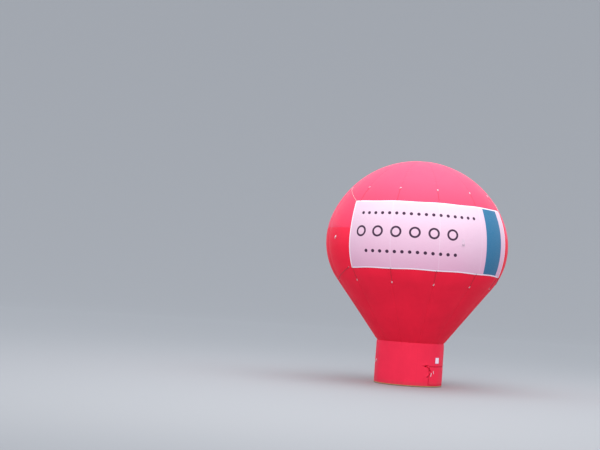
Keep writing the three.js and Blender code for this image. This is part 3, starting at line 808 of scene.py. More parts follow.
top_of_drum = neck_z - 0.00005
upright = spreads(
    (0.014, hem_z, flap_edges[0]), (0.009, flap_edges[0], flap_high - 0.03),
    (0.005, flap_high - 0.03, flap_edges[1], flap_high + 0.08), (0.014, flap_high + 0.08, top_of_drum))
by_the_dent = spreads((0.9, 15.0, 27.0), (0.35, 27.0, FLAP_FROM), (0.9, FLAP_FROM, FLAP_TO, 135.0))
flap_span = (FLAP_FROM + drum_degrees(FLAP_GAP), FLAP_TO - drum_degrees(SEAM_GAP))
beside_hinge = FLAP_TO - drum_degrees(1.2 * FOLD_WIDTH)  # past it the columns are close together
drum_pieces = [
    drum_cloth("drum_cloth_left", spread(255.0, 375.0, step=0.9), upright, "drum_panel_left"),
    drum_cloth("drum_cloth_right", by_the_dent, upright, "drum_panel_right", keep=beside_opening),
    drum_cloth("drum_cloth_back", spread(135.0, 255.0, step=0.75), spread(hem_z, top_of_drum, step=0.012),
               "drum_panel_back", keep=outside_hole),
    drum_cloth("flap_cloth", spreads((0.45, flap_span[0], beside_hinge), (0.15, beside_hinge, flap_span[1])),
               spread(flap_low, flap_high, step=0.007), "access_flap", "access_flap"),
]

# A ring of doubled cloth round the fan's hole covers the panel's cut edge.
ring_turn, ring_reach = np.meshgrid(full_turn(96), RING_RADII)
hole_azimuth = 180 - np.degrees(np.arcsin(ring_reach * np.cos(ring_turn) / drum_radius))
hole_s = FAN_Z + ring_reach * np.sin(ring_turn) - neck_z
hole_ring = cloth_shell(
    "fan_hole_ring", hole_azimuth[::-1], hole_s[::-1], (0.0030, 0.0002), (ring_turn * 0.23, ring_reach),
    closed=True, from_seam=np.minimum(ring_reach - RING_RADII[0], RING_RADII[-1] - ring_reach))
finish_piece(clean_up(hole_ring), low_cloth)
print("drum faces:", [len(piece.data.polygons) for piece in drum_pieces])

# %% [markdown]
# ## Zip
# A coarse zip is a tape on each side and a row of moulded teeth between them. The teeth are alike, so
# one tooth is repeated at places by Geometry Nodes, and the result is one joined mesh for each body.
# A small tree does this for everything that repeats: it sets a mesh on each point, turned as the
# point's attribute says.

# %% Repeat by Geometry Nodes
SOCKETS = (("Points", "Geometry", "INPUT"), ("Source", "Object", "INPUT"), ("Material", "Material", "INPUT"),
           ("Result", "Geometry", "OUTPUT"))
REPEAT = bpy.data.node_groups.new("repeat_on_points", "GeometryNodeTree")
REPEAT_SOCKETS = {
    name: REPEAT.interface.new_socket(name=name, in_out=way, socket_type="NodeSocket" + kind).identifier
    for name, kind, way in SOCKETS
}
start = REPEAT.nodes.new("NodeGroupInput").outputs
source = add_node(REPEAT, "GeometryNodeObjectInfo", {"Object": start["Source"]})
turn = add_node(REPEAT, "GeometryNodeInputNamedAttribute", {"Name": "turn"}, data_type="FLOAT_VECTOR")
placed = add_node(REPEAT, "GeometryNodeInstanceOnPoints", {
    "Points": start["Points"], "Instance": source.outputs["Geometry"], "Rotation": turn.outputs["Attribute"]})
real = add_node(REPEAT, "GeometryNodeRealizeInstances", {"Geometry": placed.outputs["Instances"]})
painted_copies = add_node(REPEAT, "GeometryNodeSetMaterial", {
    "Geometry": real.outputs["Geometry"], "Material": start["Material"]})
add_node(REPEAT, "NodeGroupOutput", {"Result": painted_copies.outputs["Geometry"]})


def repeated(name, source, places, material, body="envelope"):
    """Copies of a source object at 4 by 4 places, as one mesh. The source is removed."""
    points = bpy.data.meshes.new(name)
    points.from_pydata([tuple(place.translation) for place in places], [], [])
    turn = points.attributes.new("turn", "FLOAT_VECTOR", "POINT")
    turn.data.foreach_set("vector", [x for place in places for x in place.to_euler()])
    holder = add_object(name + "_points", points)
    modifier = holder.modifiers.new("repeat", "NODES")
    modifier.node_group = REPEAT
    modifier[REPEAT_SOCKETS["Source"]] = source
    modifier[REPEAT_SOCKETS["Material"]] = material
    bpy.context.view_layer.update()
    mesh = bpy.data.meshes.new_from_object(holder.evaluated_get(bpy.context.evaluated_depsgraph_get()))
    for spent in (holder, source):
        bpy.data.objects.remove(spent)
    mesh.name = name
    return finish_piece(add_object(name, mesh), material, body)


def place_at(origin, x_axis, y_axis):
    """A 4 by 4 place from an origin, an x axis and a rough y axis."""
    x = Vector(x_axis).normalized()
    z = x.cross(Vector(y_axis)).normalized()
    return place_of(x, z.cross(x), z, origin)


def place_on(points, azimuth, s):
    """A place on a surface that points(azimuth, s) gives: x to the right, y up along it, z out of it."""
    spot, beside, above = points(np.array([azimuth, azimuth + 0.3, azimuth]), np.array([s, s, s + 0.005]))
    return place_at(spot, beside - spot, above - spot)


def rounded_box(name, size, centre=(0, 0, 0), radius=0.001, segments=2):
    """A box with rounded edges."""
    mesh = bmesh.new()
    bmesh.ops.create_cube(mesh, size=1.0)
    bmesh.ops.scale(mesh, vec=size, verts=mesh.verts)
    bmesh.ops.bevel(mesh, geom=mesh.edges[:], offset=radius, segments=segments, profile=0.5, affect="EDGES")
    bmesh.ops.translate(mesh, vec=centre, verts=mesh.verts)
    return smooth_but(40, from_bmesh(name, mesh))


def smooth_but(sharp, made):
    """Shades a piece smooth, apart from edges that turn by more than so many degrees."""
    made.data.shade_smooth()
    made.data.set_sharp_from_angle(angle=math.radians(sharp))
    return made


def joined(name, parts):
    """One mesh from several objects."""
    mesh = bmesh.new()
    for part in parts:
        mesh.from_mesh(part.data)
    for part in parts:
        bpy.data.objects.remove(part)
    return from_bmesh(name, mesh)


print("repeat tree:", len(REPEAT.nodes), "nodes")

# %% Zip tape, teeth and fly
ZIP_TAPE = 0.014  # width that shows on each side
TAPE_THICK = 0.0010
TAPE_LIFT = 0.0004
TOOTH = (0.0042, 0.0022, 0.0035)
TOOTH_PITCH = 0.0065
FLY = {"thick": 0.0012, "width": 0.044, "lift": -0.0062}
LIGHT_DIRT = (0.16, 0.13, 0.11)


def plain_cloth(name, colour, threads, rough=0.75, dirt_and_shade=0.0, sheen=0.15):
    """Woven tape or webbing."""
    material, uv, spot = new_material(name)
    base = mixed(ranged(noise(spot, 38.0, 4.0, 0.6), 0.35, 0.75), colour, grey(colour, 0.80))
    return shade(material, {
        "Base Color": mixed(dirt_and_shade, base, LIGHT_DIRT), "Roughness": rough, "Specular IOR Level": 0.2,
        "Normal": bumped(weave(uv, threads), 0.0006, 0.8), "Sheen Weight": sheen, "Sheen Roughness": 0.5,
    })


def moulded(name, colour, rough, grain=220.0, gloss=0.4):
    """Moulded plastic with a light grain."""
    material, _, spot = new_material(name)
    return shade(material, {
        "Base Color": colour, "Roughness": drift(rough - 0.06, rough + 0.08, spot, 9.0, 4.0),
        "Normal": bumped(noise(spot, grain, 3.0, 0.6), 0.0004, 0.35), "Specular IOR Level": gloss,
    })


tape_cloth = plain_cloth("zip_tape", (0.80, 0.014, 0.055), 1400, sheen=0.0)
zip_plastic = moulded("zip_plastic", (0.72, 0.008, 0.040), 0.6, gloss=0.1)


def cloth_ribbon(name, azimuths, heights, across, thick, width, lift, material, body="envelope"):
    """A flat band laid on the drum's cloth along a path of azimuths and heights. across is (sideways, up)
    unit steps in metres that point over its width, one for each point of the path."""
    distances = heights - neck_z
    offsets = np.array([-0.5, 0.0, 0.5])[:, None] * width
    azimuth, s = azimuths + drum_degrees(offsets * across[:, 0]), distances + offsets * across[:, 1]
    run = running_length(cloth_point(azimuths, distances))
    made = cloth_shell(name, azimuth, s, (lift + thick, lift), (run, offsets), from_seam=0.5)
    return finish_piece(clean_up(made), material, body)


def zip_path(low_azimuth, high_azimuth, low_z, high_z):
    """The zip's way: along the bottom from the hinge, up the free edge, and along the top to the hinge.
    Its azimuths, its heights, its points on the flat drum, and the direction to its right."""
    bottom = spread(high_azimuth, low_azimuth, step=0.25)
    side = spread(low_z, high_z, step=0.01)[1:-1]
    azimuths = np.concatenate([bottom, np.full(len(side), low_azimuth), bottom[::-1]])
    heights = np.concatenate([np.full(len(bottom), low_z), side, np.full(len(bottom), high_z)])
    flat = np.stack([np.radians(azimuths) * drum_radius, heights], -1)
    run = np.gradient(flat, axis=0)
    run /= np.linalg.norm(run, axis=1)[:, None]
    return azimuths, heights, flat, np.stack([-run[:, 1], run[:, 0]], -1)


def zip_half(name, corners, outward, body):
    """A tape beside the path and a row of teeth on it. outward is 1 on the panel's side, -1 on the flap's."""
    azimuths, heights, flat, across = zip_path(*corners)
    across = outward * across
    middle = 0.0012 + ZIP_TAPE / 2
    cloth_ribbon(
        name + "_tape", azimuths + drum_degrees(across[:, 0]) * middle, heights + across[:, 1] * middle,
        across, TAPE_THICK, ZIP_TAPE, TAPE_LIFT, tape_cloth, body)
    length = running_length(flat)
    stops = np.arange(0.02, length[-1] - 0.02, TOOTH_PITCH) + (TOOTH_PITCH / 2 if outward < 0 else 0)
    at_stops = [np.interp(stops, length, row) for row in (azimuths, heights, *across.T)]
    places = []
    for azimuth, height, *step in zip(*at_stops):
        place = place_on(partial(cloth_point, lift=0.0016), azimuth, height - neck_z)
        x, y = place.col[0].xyz, place.col[1].xyz
        places.append(place_at(place.translation, x * step[0] + y * step[1], x * -step[1] + y * step[0]))
    tooth = rounded_box("tooth", TOOTH, (0.0006, 0, 0), 0.0006, 1)
    repeated(name + "_teeth", tooth, places, zip_plastic, body)


inset = drum_degrees(0.0004)
zip_half("panel_zip", (FLAP_FROM - inset, FLAP_TO, *flap_edges), 1, "envelope")
zip_half("flap_zip", (flap_span[0] + inset, flap_span[1], flap_low, flap_high), -1, "access_flap")

# A fly sewn inside the panel closes the view between the two rows of teeth.
fly_azimuth, fly_z, _, fly_across = zip_path(
    FLAP_FROM + inset, FLAP_TO, flap_low - FLAP_GAP / 2, flap_high + FLAP_GAP / 2)
cloth_ribbon("flap_fly", fly_azimuth, fly_z, fly_across, *FLY.values(), low_cloth)
print("zip teeth:", round(1000 * TOOTH_PITCH, 1), "mm apart on each half")

# %% Ground sheet
HEM_TAPE = 0.024
SHEET_BELOW_EDGE = 0.002
sheet_radius, sheet_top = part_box("ground_sheet")[1].x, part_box("ground_sheet")[1].z
ground_cloth = plain_cloth("ground_cloth", (0.050, 0.047, 0.042), 700, 0.7, 0.25)
binding_cloth = plain_cloth("khaki_binding", (0.46, 0.27, 0.10), 900, 0.8, 0.12)
flat_radius, flat_top = sheet_radius - 0.022, sheet_top - SHEET_BELOW_EDGE
ground = turned("ground_sheet_cloth", [(0, 0.0), (flat_radius, 0.0), (flat_radius, flat_top), (0, flat_top)])
finish_piece(ground, ground_cloth, stands_for="ground_sheet")
# The sheet's rolled edge is of the sheet's own dark cloth. It is also painted shadow: its dark line stands in
# for the shade under the drum's hem.
under_edge = [(0.030, sheet_top / 2 - 0.0045), (0.012, 0.0), (0.006, 0.0004), (0.0015, 0.0025)]
over_edge = [(inward, sheet_top - z) for inward, z in under_edge[::-1]]
binding = turned("ground_sheet_binding", [
    (sheet_radius - inward, z) for inward, z in under_edge + [(0, sheet_top / 2)] + over_edge], sides=192)
finish_piece(binding, ground_cloth)

# The drum's hem is bound with a khaki tape, just above the ground sheet.
tape_azimuth, tape_z = np.meshgrid(np.arange(360) * 1.0, hem_z + HEM_TAPE * np.array([0.0, 0.15, 0.85, 1.0]))
hem_tape = cloth_shell("drum_hem_binding", tape_azimuth, tape_z - neck_z, (0.0020, 0.0002),
                       (np.radians(tape_azimuth) * drum_radius, tape_z), closed=True)
finish_piece(hem_tape, binding_cloth)
print("ground sheet:", round(sheet_radius, 3), "m radius")

# %% [markdown]
# ## Banner
# The banner is one thin white cloth, tied over the front by its corners and along both long hems. It
# is cut to its size, stretched over the ball, and bridges the gores' valleys, so it lies on a shape of
# its own: less deep between seams than the gores, but never under them. Between two ties a hem draws
# back a little. The print is a plain pattern: two rows of small dots, a row of rings and a broad stripe.

# %% Lay the banner over the gores
BANNER_FOLLOW = 0.6  # how far it sinks into the valleys
BANNER_THICK = 0.0015
HEM_BOW = 0.055  # how much higher the hems lie at the middle than at the corners
BANNER_LOW, BANNER_HIGH = along(3.085), on_crown(math.radians(30.5))
BANNER_EDGES = (-45.2, 74.8)  # azimuths at half its height
LOW_FLARE, HIGH_FLARE = (0.4, 3.3), (3.9, 3.2)  # how much further round the corners lie, left and right
HEM_SAG = 0.014
TIE_AZIMUTHS = (-45.0, -15.0, 15.0, 45.0, 75.0)
PATCH_UNDER = PATCH_AZIMUTHS[1]  # the patch whose ring shows through the banner
# A slack ripple lies beside each hem: its mean height, how much that changes, its place and its width.
TOP_WAVE = {"height": 0.0027, "swell": 0.0018, "inset": 0.10, "wide": 0.07}
LOW_WAVE = {"height": 0.0015, "swell": 0.0015, "inset": 0.07, "wide": 0.05}
TIE_FOLDS = {"height": 0.0022, "reach": 0.10}
PATCH_FOLDS = {"height": 0.050, "reach": 0.13}


def banner_lift(azimuth, s):
    """How far the banner's inner face lies above the smooth gore, in metres."""
    r = meridian(s)[0]
    gap = (1 - BANNER_FOLLOW) * gore_depth(s, r) * seam_of(azimuth)[1] ** 2
    own = 0.0020 + np.maximum(0, relief(azimuth, s, r) - gap)
    rise = hem_rise(azimuth)
    below_hem, above_hem = BANNER_HIGH + rise - s, s - BANNER_LOW - rise
    waves = np.sin(np.radians(azimuth) * 19 + 1.5 * np.sin(np.radians(azimuth) * 7))
    for reach_s, wave in ((below_hem, TOP_WAVE), (above_hem, LOW_WAVE)):
        own = own + (wave["height"] + wave["swell"] * waves) * bump(reach_s - wave["inset"], wave["wide"])
    for turn in TIE_AZIMUTHS:
        sideways = np.radians(azimuth - turn) * r
        for reach_s in (below_hem, above_hem):
            star = np.sin(9 * np.arctan2(np.abs(reach_s), sideways)) ** 2
            own = own + TIE_FOLDS["height"] * star * np.exp(-np.hypot(sideways, reach_s) / TIE_FOLDS["reach"])
    sideways, up = np.radians(azimuth - PATCH_UNDER) * r, s - patch_s
    reach = np.hypot(sideways, up)
    star = np.cos(5 * np.arctan2(up, sideways) + 0.7) ** 2
    return own + PATCH_FOLDS["height"] * star * reach * np.exp(-reach / PATCH_FOLDS["reach"])


def banner_point(azimuth, s, lift=0.0):
    """Points of the banner's outer face, or above it."""
    return cloth_point(azimuth, s, banner_lift(azimuth, s) + BANNER_THICK + lift, BANNER_FOLLOW, 0)


def hem_rise(azimuth):
    """A hem's rise between the corners: the rows of a flat cloth bow when it is laid on a ball."""
    middle, half = sum(BANNER_EDGES) / 2, (BANNER_EDGES[1] - BANNER_EDGES[0]) / 2
    return HEM_BOW * np.clip(1 - ((azimuth - middle) / half) ** 2, -0.2, 1)


def banner_span(share):
    """The banner's side edges at a share of its height."""
    bow = (2 * share - 1) ** 2
    left, right = (bow * np.where(share < 0.5, LOW_FLARE[side], HIGH_FLARE[side]) for side in (0, 1))
    return BANNER_EDGES[0] - left, BANNER_EDGES[1] + right


def mean_length(points, axis):
    """The mean length of a grid's lines along an axis, to a centimetre."""
    return round(float(np.linalg.norm(np.diff(points, axis=axis), axis=-1).sum(axis=axis).mean()), 2)


rows = spread(0.0, 0.012, 0.04, 0.96, 0.988, 1.0, step=0.017)
columns = spread(0.0, 0.004, 0.016, 0.984, 0.996, 1.0, step=0.0075)
column_share, row_share = np.meshgrid(columns, rows)
left_edge, right_edge = banner_span(row_share)
banner_azimuth = left_edge + (right_edge - left_edge) * column_share
sag = HEM_SAG * (1 - np.cos(2 * np.pi * (banner_azimuth - TIE_AZIMUTHS[2]) / 30.0)) / 2
banner_s = (BANNER_LOW + sag) + (BANNER_HIGH - BANNER_LOW - 2 * sag) * row_share + hem_rise(banner_azimuth)
outer_face = banner_point(banner_azimuth, banner_s)
banner_width, banner_height = mean_length(outer_face, 1), mean_length(outer_face, 0)
banner = shell("banner_cloth", outer_face, banner_point(banner_azimuth, banner_s, -BANNER_THICK),
               (column_share * banner_width, row_share * banner_height))
print("banner:", banner_width, "by", banner_height, "m,", len(banner.data.polygons), "faces")

# %% Print and cloth of the banner
HEM_WIDTH = 0.034
PLUM, TEAL = (0.034, 0.008, 0.034), (0.010, 0.150, 0.290)
# Painted light: the cloth is painted darker and pinker low down, for shade, and whiter high up, for the sky's
# light. Its pink is painted light of the red balloon through the thin cloth.
SHADED_LOW_WHITE, LIT_HIGH_WHITE = (0.78, 0.42, 0.575), (0.74, 0.565, 0.655)  # the cloth, low and high
DOUBLE_WHITE, JOIN_WHITE = (0.93, 0.86, 0.94), (0.95, 0.90, 0.95)  # the hem, and where two widths overlap
RING = {"radius": 0.152, "hole": 0.098, "pitch": 0.50, "height": 0.53, "ends": (0.16, 3.16)}
DOT = {"radius": 0.046, "pitch": 0.20}
DOT_ROWS = ((0.80, 0.30, 3.70), (0.25, 0.50, 3.10))  # share of the height, and the row's ends
STRIPE = (4.02, 4.72)  # the broad stripe's sides, from the left edge
JOINS = (0.25, 0.5, 0.75)  # where the banner's widths are sewn together


def dot_reach(x, y, start, pitch, height):
    """The distance from the nearest dot's middle, in a row of dots at one height."""
    sideways = minus(maths("MODULO", minus(x, start), pitch), pitch / 2)
    up = minus(y, height)
    return maths("SQRT", plus(times(sideways, sideways), times(up, up)))


def banner_material():
    """Printed cloth with its hems and joins."""
    material, uv, spot = new_material("banner_print")
    x, y, _ = parts_of(uv)
    # Painted light: a share that grows up the banner, from its shaded colour to its lit one.
    lit_share = ranged(plus(ranged(y, 0.0, banner_height), drift(-0.08, 0.08, spot, 1.3)), 0.0, 1.0)
    to_edge = smallest(smallest(x, minus(banner_width, x)), smallest(y, minus(banner_height, y)))
    hem = ranged(to_edge, HEM_WIDTH + 0.003, HEM_WIDTH - 0.003)
    print_area = minus(1.0, hem)
    rows_of_dots = [
        times(inside(dot_reach(x, y, start, DOT["pitch"], banner_height * height), -1.0, DOT["radius"]),
              inside(x, start, end))
        for height, start, end in DOT_ROWS
    ]
    reach = dot_reach(x, y, RING["ends"][0], RING["pitch"], banner_height * RING["height"])
    rings = times(inside(reach, RING["hole"], RING["radius"]), inside(x, *RING["ends"]))
    plum = times(largest(largest(*rows_of_dots), rings), print_area)
    worn = ranged(noise(spot, 30.0, 5.0, 0.6), 0.25, 0.8, 1.0, 0.94)
    base = mixed(times(plum, worn), mixed(lit_share, SHADED_LOW_WHITE, LIT_HIGH_WHITE), PLUM)
    base = mixed(times(times(inside(x, *STRIPE), print_area), worn), base, TEAL)
    base = mixed(times(hem, 0.8), base, DOUBLE_WHITE)
    first, second, third = (ranged(size_of(minus(x, banner_width * share)), 0.012, 0.009) for share in JOINS)
    joins = largest(largest(first, second), third)
    hem_line = ranged(size_of(minus(to_edge, HEM_WIDTH - 0.004)), 0.002, 0.0006)
    normal = bumped(weave(uv, 750), 0.0004, 0.5)
    normal = bumped(noise(uv, 5.0, 5.0, 0.55), 0.010, 0.25, normal)
    normal = bumped(hem, 0.0012, 0.8, normal)
    return shade(material, {
        "Base Color": mixed(times(joins, 0.13), base, JOIN_WHITE),
        "Normal": bumped(largest(joins, hem_line), 0.0008, 0.8, normal),
        "Roughness": 0.66, "Specular IOR Level": 0.22, "Sheen Weight": 0.04, "Sheen Roughness": 0.5,
    })


finish_piece(banner, banner_material(), stands_for="banner")
print("print on the banner:", len(DOT_ROWS), "rows of dots, one of rings and a stripe")

# %% Eyelets along the hems
EYELET_INSET = 0.026
EYELET = {"radius": 0.0095, "wire": 0.0032, "flat": 0.55, "lift": 0.0004}
CORNER_INSET, SIDE_INSET = 0.8, 0.7  # degrees
SIDE_SHARES = (0.25, 0.5, 0.75)  # heights of the eyelets on the short sides


def metal(name, colour, rough):
    """Worn metal."""
    material, _, spot = new_material(name)
    return shade(material, {
        "Base Color": mixed(ranged(noise(spot, 24.0), 0.4, 0.7), colour, grey(colour, 0.82)), "Metallic": 1.0,
        "Roughness": drift(rough - 0.07, rough + 0.12, spot, 60.0, 4.0, 0.6),
        "Normal": bumped(noise(spot, 400.0, 2.0), 0.0002, 0.3),
    })


zinc = metal("zinc_plate", (0.74, 0.74, 0.75), 0.32)
galvanised = metal("galvanised_steel", (0.60, 0.60, 0.62), 0.38)


def ring_profile(radius, wire, sides=8, flat=1.0):
    """A turned ring's round section, as radius and height pairs."""
    turns = full_turn(sides)
    return np.stack([radius + wire * np.cos(turns), flat * wire * np.sin(turns)], -1)


top_left, top_right = banner_span(1.0)
corners = (top_left + CORNER_INSET, top_right - CORNER_INSET)
hems = {"lower": BANNER_LOW + EYELET_INSET, "upper": BANNER_HIGH - EYELET_INSET}
hem_ties = [(azimuth, hems[row] + hem_rise(azimuth), row) for row in hems for azimuth in TIE_AZIMUTHS]
corner_ties = [(azimuth, hems[row] + hem_rise(azimuth), row) for azimuth in corners for row in hems]
side_eyelets = [
    (edge + inset, BANNER_LOW + share * (BANNER_HIGH - BANNER_LOW) + hem_rise(edge), None)
    for share in SIDE_SHARES for edge, inset in zip(banner_span(share), (SIDE_INSET, -SIDE_INSET))
]
eyelet_places = [
    place_on(partial(banner_point, lift=EYELET["lift"]), azimuth, s)
    for azimuth, s, _ in hem_ties + corner_ties + side_eyelets
]
eyelet = turned("eyelet", ring_profile(EYELET["radius"], EYELET["wire"], flat=EYELET["flat"]), sides=20)
banner_eyelets = repeated("banner_eyelets", eyelet, eyelet_places, zinc)
print("eyelets:", len(eyelet_places))

# %% [markdown]
# ## Webbing, rings and ties
# Every seam has two small rings on white tabs, one row over the banner and one below it, for hanging
# banners. Six bigger patches, four round the belly and two on the drum, hold big steel rings.
# A patch is the balloon's own cloth, and the ring's loop is white webbing, a flat woven band that is
# sewn down with a box of stitches. The small tabs and rings are alike, so Geometry Nodes repeats them.
# The six big rings ride on bodies of their own, since they swing.

# %% Bands and tubes along a path
BAND_THICK = 0.0016
OFF_AXIS = (0.31, 0.52, 0.79)  # along no path here, so it gives a tube's first side


def unit(vectors):
    """Vectors with their length made 1."""
    return vectors / np.linalg.norm(vectors, axis=-1, keepdims=True)


def run_of(path, closed):
    """Which way a path runs at each of its points."""
    return np.roll(path, -1, 0) - np.roll(path, 1, 0) if closed else np.gradient(path, axis=0)


def round_corner(centre_r, centre_h, radius, start, stop, count=7):
    """Points of an arc in a profile, its angles in degrees from the outward direction."""
    turns = np.radians(np.linspace(start, stop, count))
    return [(centre_r + radius * math.cos(t), centre_h + radius * math.sin(t)) for t in turns]


def band(name, path, across, width, thick=BAND_THICK, closed=False):
    """A flat band that follows a path of points, its width along one direction."""
    path, across = np.asarray(path, float), unit(np.asarray(across, float))
    out = unit(np.cross(across, run_of(path, closed)))
    offsets = np.array([-0.5, 0.0, 0.5])[:, None] * width
    faces = (path + side * out * thick / 2 + offsets[..., None] * across for side in (1, -1))
    return clean_up(shell(name, *faces, (running_length(path), offsets), closed=closed, from_seam=0.5))


def tube(name, path, radius, sides=10, closed=False):
    """A round cord or wire along a path of points."""
    path = np.asarray(path, float)
    run = unit(run_of(path, closed))
    side = np.empty_like(path)
    last = np.cross(run[0], OFF_AXIS)
    for k, direction in enumerate(run):
        last = side[k] = unit(last - direction * (last @ direction))
    turns = full_turn(sides)[:, None]
    out = np.cos(turns) * side[:, None] + np.sin(turns) * np.cross(run, side)[:, None]
    faces = grid_quads(len(path), sides, closed, True).reshape(-1, 4).tolist()
    if not closed:
        number = list(range(len(path) * sides))
        faces += [number[:sides][::-1], number[-sides:]]
    made = new_object(name, path[:, None] + radius * out, faces, sharp=50)
    write_uv(made, np.stack(np.broadcast_arrays(running_length(path)[:, None], turns[:, 0] * radius), -1))
    return clean_up(made)


print("bands are", round(BAND_THICK * 1000, 1), "mm thick")

# %% Webbing and small rings on the seams
TAB = {"width": 0.034, "thick": 0.0036, "above": 0.004, "sunk": 0.0025}
TAB_SIDE = ((0.034, 0.0022), (0.022, 0.0024), (0.006, 0.0040), (0.0, 0.0062))  # up the cloth, and off it
TAB_FOLD = 0.0048  # radius of the fold that holds the ring
SMALL_RING = {"radius": 0.013, "wire": 0.0023, "high": 0.008, "below": 0.002, "slope": 0.002, "squash": 0.95}
white_webbing = plain_cloth("white_webbing", (0.88, 0.80, 0.86), 520, 0.75, 0.06)
banner_patch_cloth = plain_cloth("banner_patch_cloth", (0.80, 0.56, 0.68), 750, 0.75, 0.03, 0.0)

seam_places = [
    place_on(partial(cloth_point, lift=-TAB["sunk"]), 30.0 * k + 15.0, ring_s[row] + TAB["above"])
    for row in RING_ROWS for k in range(GORES)
]
fold_path = [(side * TAB["width"] / 2, -SMALL_RING["below"], SMALL_RING["high"]) for side in (-1, 1)]
tab = joined("tab", [
    band("tab_cloth", [(0, y, z) for y, z in TAB_SIDE], (1, 0, 0), TAB["width"], TAB["thick"]),
    tube("tab_fold", fold_path, TAB_FOLD, 12),
])
repeated("seam_ring_tabs", tab, seam_places, white_webbing)
turns = full_turn(24)
small_ring_path = np.stack([
    SMALL_RING["radius"] * np.sin(turns),
    -SMALL_RING["below"] - SMALL_RING["squash"] * SMALL_RING["radius"] * (1 - np.cos(turns)),
    SMALL_RING["high"] - SMALL_RING["slope"] * (1 - np.cos(turns)),
], -1)
small_ring = tube("small_ring", small_ring_path, SMALL_RING["wire"], 8, closed=True)
repeated("seam_small_rings", small_ring, seam_places, zinc)
print("tabs and small rings:", len(seam_places), "each")

# %% The six big patches and their rings
PATCH = {"width": 0.090, "height": 0.140, "below": 0.012}  # below is where the loop's sewn end begins
PATCH_DROP = 0.010  # how far a belly patch's lower edge lies below its ring's bar
TAIL = {"width": 0.046, "start": 0.004, "length": 0.042}  # the loop's sewn end, above the ring
PATCH_FACES, TAIL_FACES = (0.0030, 0.0004), (0.0052, 0.0032)  # heights of the outer and the inner face
STITCH_BOX = {"height": -0.0007, "inset": 0.008, "wide": 0.003}
PATCH_GRID = (13, 15)  # points across and up
LOOP_ENDS = [(0.019, 0.0030), (0.0088, 0.0048)]  # inward from the ring's bar, and up
LOOP_BEND = 0.0063  # radius of the loop round the bar
D_RING = {"half": 0.034, "drop": 0.008, "wire": 0.004, "corner": 0.006}


def patch_on(name, azimuth, s_low, width, height, points, faces, material, stands_for=None):
    """A rectangle of cloth or webbing that lies on points(azimuth, s, lift), with its box of stitches."""
    r = meridian([s_low + height / 2])[0][0]
    across = azimuth + math.degrees(width / 2 / r) * np.linspace(-1, 1, PATCH_GRID[0])
    a, s = np.meshgrid(across, s_low + np.linspace(0, height, PATCH_GRID[1]))
    sideways = np.radians(a - azimuth) * r
    edge = np.minimum(width / 2 - np.abs(sideways), np.minimum(s - s_low, s_low + height - s))
    sewn = STITCH_BOX["height"] * bump(edge - STITCH_BOX["inset"], STITCH_BOX["wide"])
    made = shell(name, points(a, s, faces[0] + sewn), points(a, s, faces[1]), (sideways, s - s_low),
                 from_seam=edge)
    finish_piece(made, material, stands_for=stands_for)


up = Vector((0, 0, 1))
half, drop, corner = D_RING["half"], D_RING["drop"], D_RING["corner"]
bow = round_corner(half - corner, -corner, corner, 90, 0, 6) + round_corner(0, -drop, half, 0, -180, 25)
bow += round_corner(corner - half, -corner, corner, 180, 90, 6)
bow += [(x, 0.0) for x in np.linspace(corner - half, half - corner, 8)[1:-1]]
loop = LOOP_ENDS + round_corner(0, 0, LOOP_BEND, 90, 270, 9) + [(x, -z) for x, z in LOOP_ENDS[::-1]]
joint_of = {joint["child"]: joint for joint in frame["joints"]}
big_rings = [body for body in frame["bodies"] if body.endswith("_ring")]
for ring in big_rings:
    anchor = ring.removesuffix("_ring")
    eye, across = Vector(joint_of[ring]["pos_m"]), -Vector(joint_of[ring]["axis"])
    azimuth = math.degrees(math.atan2(eye.x, -eye.y))
    s_low, cloth = along(eye.z) - PATCH_DROP, red_cloth
    points, webbing = cloth_point, white_webbing
    if anchor.startswith("drum"):
        s_low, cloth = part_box(anchor + "_patch")[0].z - neck_z, low_cloth
    elif anchor == "equator_front_right":
        points, cloth, webbing = banner_point, banner_patch_cloth, banner_patch_cloth
    patch_on(anchor + "_webbing", azimuth, s_low, PATCH["width"], PATCH["height"], points, PATCH_FACES, cloth,
             anchor + "_patch")
    patch_on(anchor + "_loop_tail", azimuth, s_low + PATCH["below"] + TAIL["start"], TAIL["width"],
             TAIL["length"], points, TAIL_FACES, webbing)
    inward = Vector((-math.sin(math.radians(azimuth)), math.cos(math.radians(azimuth)), 0))
    loop_path = [eye + inward * x + up * z for x, z in loop]
    finish_piece(band(anchor + "_loop", loop_path, across, TAIL["width"]), webbing)
    bow_path = [eye + across * x + up * z for x, z in bow]
    d_ring = tube(anchor + "_d_ring", bow_path, D_RING["wire"], 12, closed=True)
    finish_piece(d_ring, galvanised, body=ring, stands_for=ring)
print("big rings:", big_rings)

# %% Ties between the banner and the small rings
HEM_CORD, CORNER_CORD = 0.0022, 0.0036  # radii
CORNER_SEAMS = (-75.0, 105.0)  # the seams beyond the banner's left and right corners
CORD_LIFT = 0.0015  # between a cord and the cloth
OFF_SEAM = 0.0036  # how far a cord that follows a seam stands off it halfway
RING_LOW = 2 * SMALL_RING["radius"] - 0.004  # an upper ring's lowest point, where the cord goes round it
BANNER_MARGIN = 0.01  # this far past the hems a cord still lies as high as on the banner
SMOOTHING = 6  # rounds
KNOT = {"turns": 3, "radius": 1.55, "pitch": 2.0, "cord": 0.9}  # lengths as shares of the cord's radius
cord_light = plain_cloth("light_cord", (0.88, 0.66, 0.62), 1600, 0.8, 0.04)
cord_red = plain_cloth("red_cord", (0.60, 0.030, 0.070), 1600, 0.8, 0.15)
cord_dark = plain_cloth("dark_cord", (0.10, 0.055, 0.065), 1600, 0.8, 0.2)


def coil(middle, direction, radius, pitch):
    """The path of a knot's turns round a cord."""
    direction = unit(direction)
    side = unit(np.cross(direction, [0.3, 0.5, 0.8]))
    steps = np.linspace(0, 1, 12 * KNOT["turns"] + 1)[:, None]
    angle = 2 * math.pi * KNOT["turns"] * steps
    out = np.cos(angle) * side + np.sin(angle) * np.cross(direction, side)
    return middle + direction * (steps - 0.5) * pitch * KNOT["turns"] + radius * out


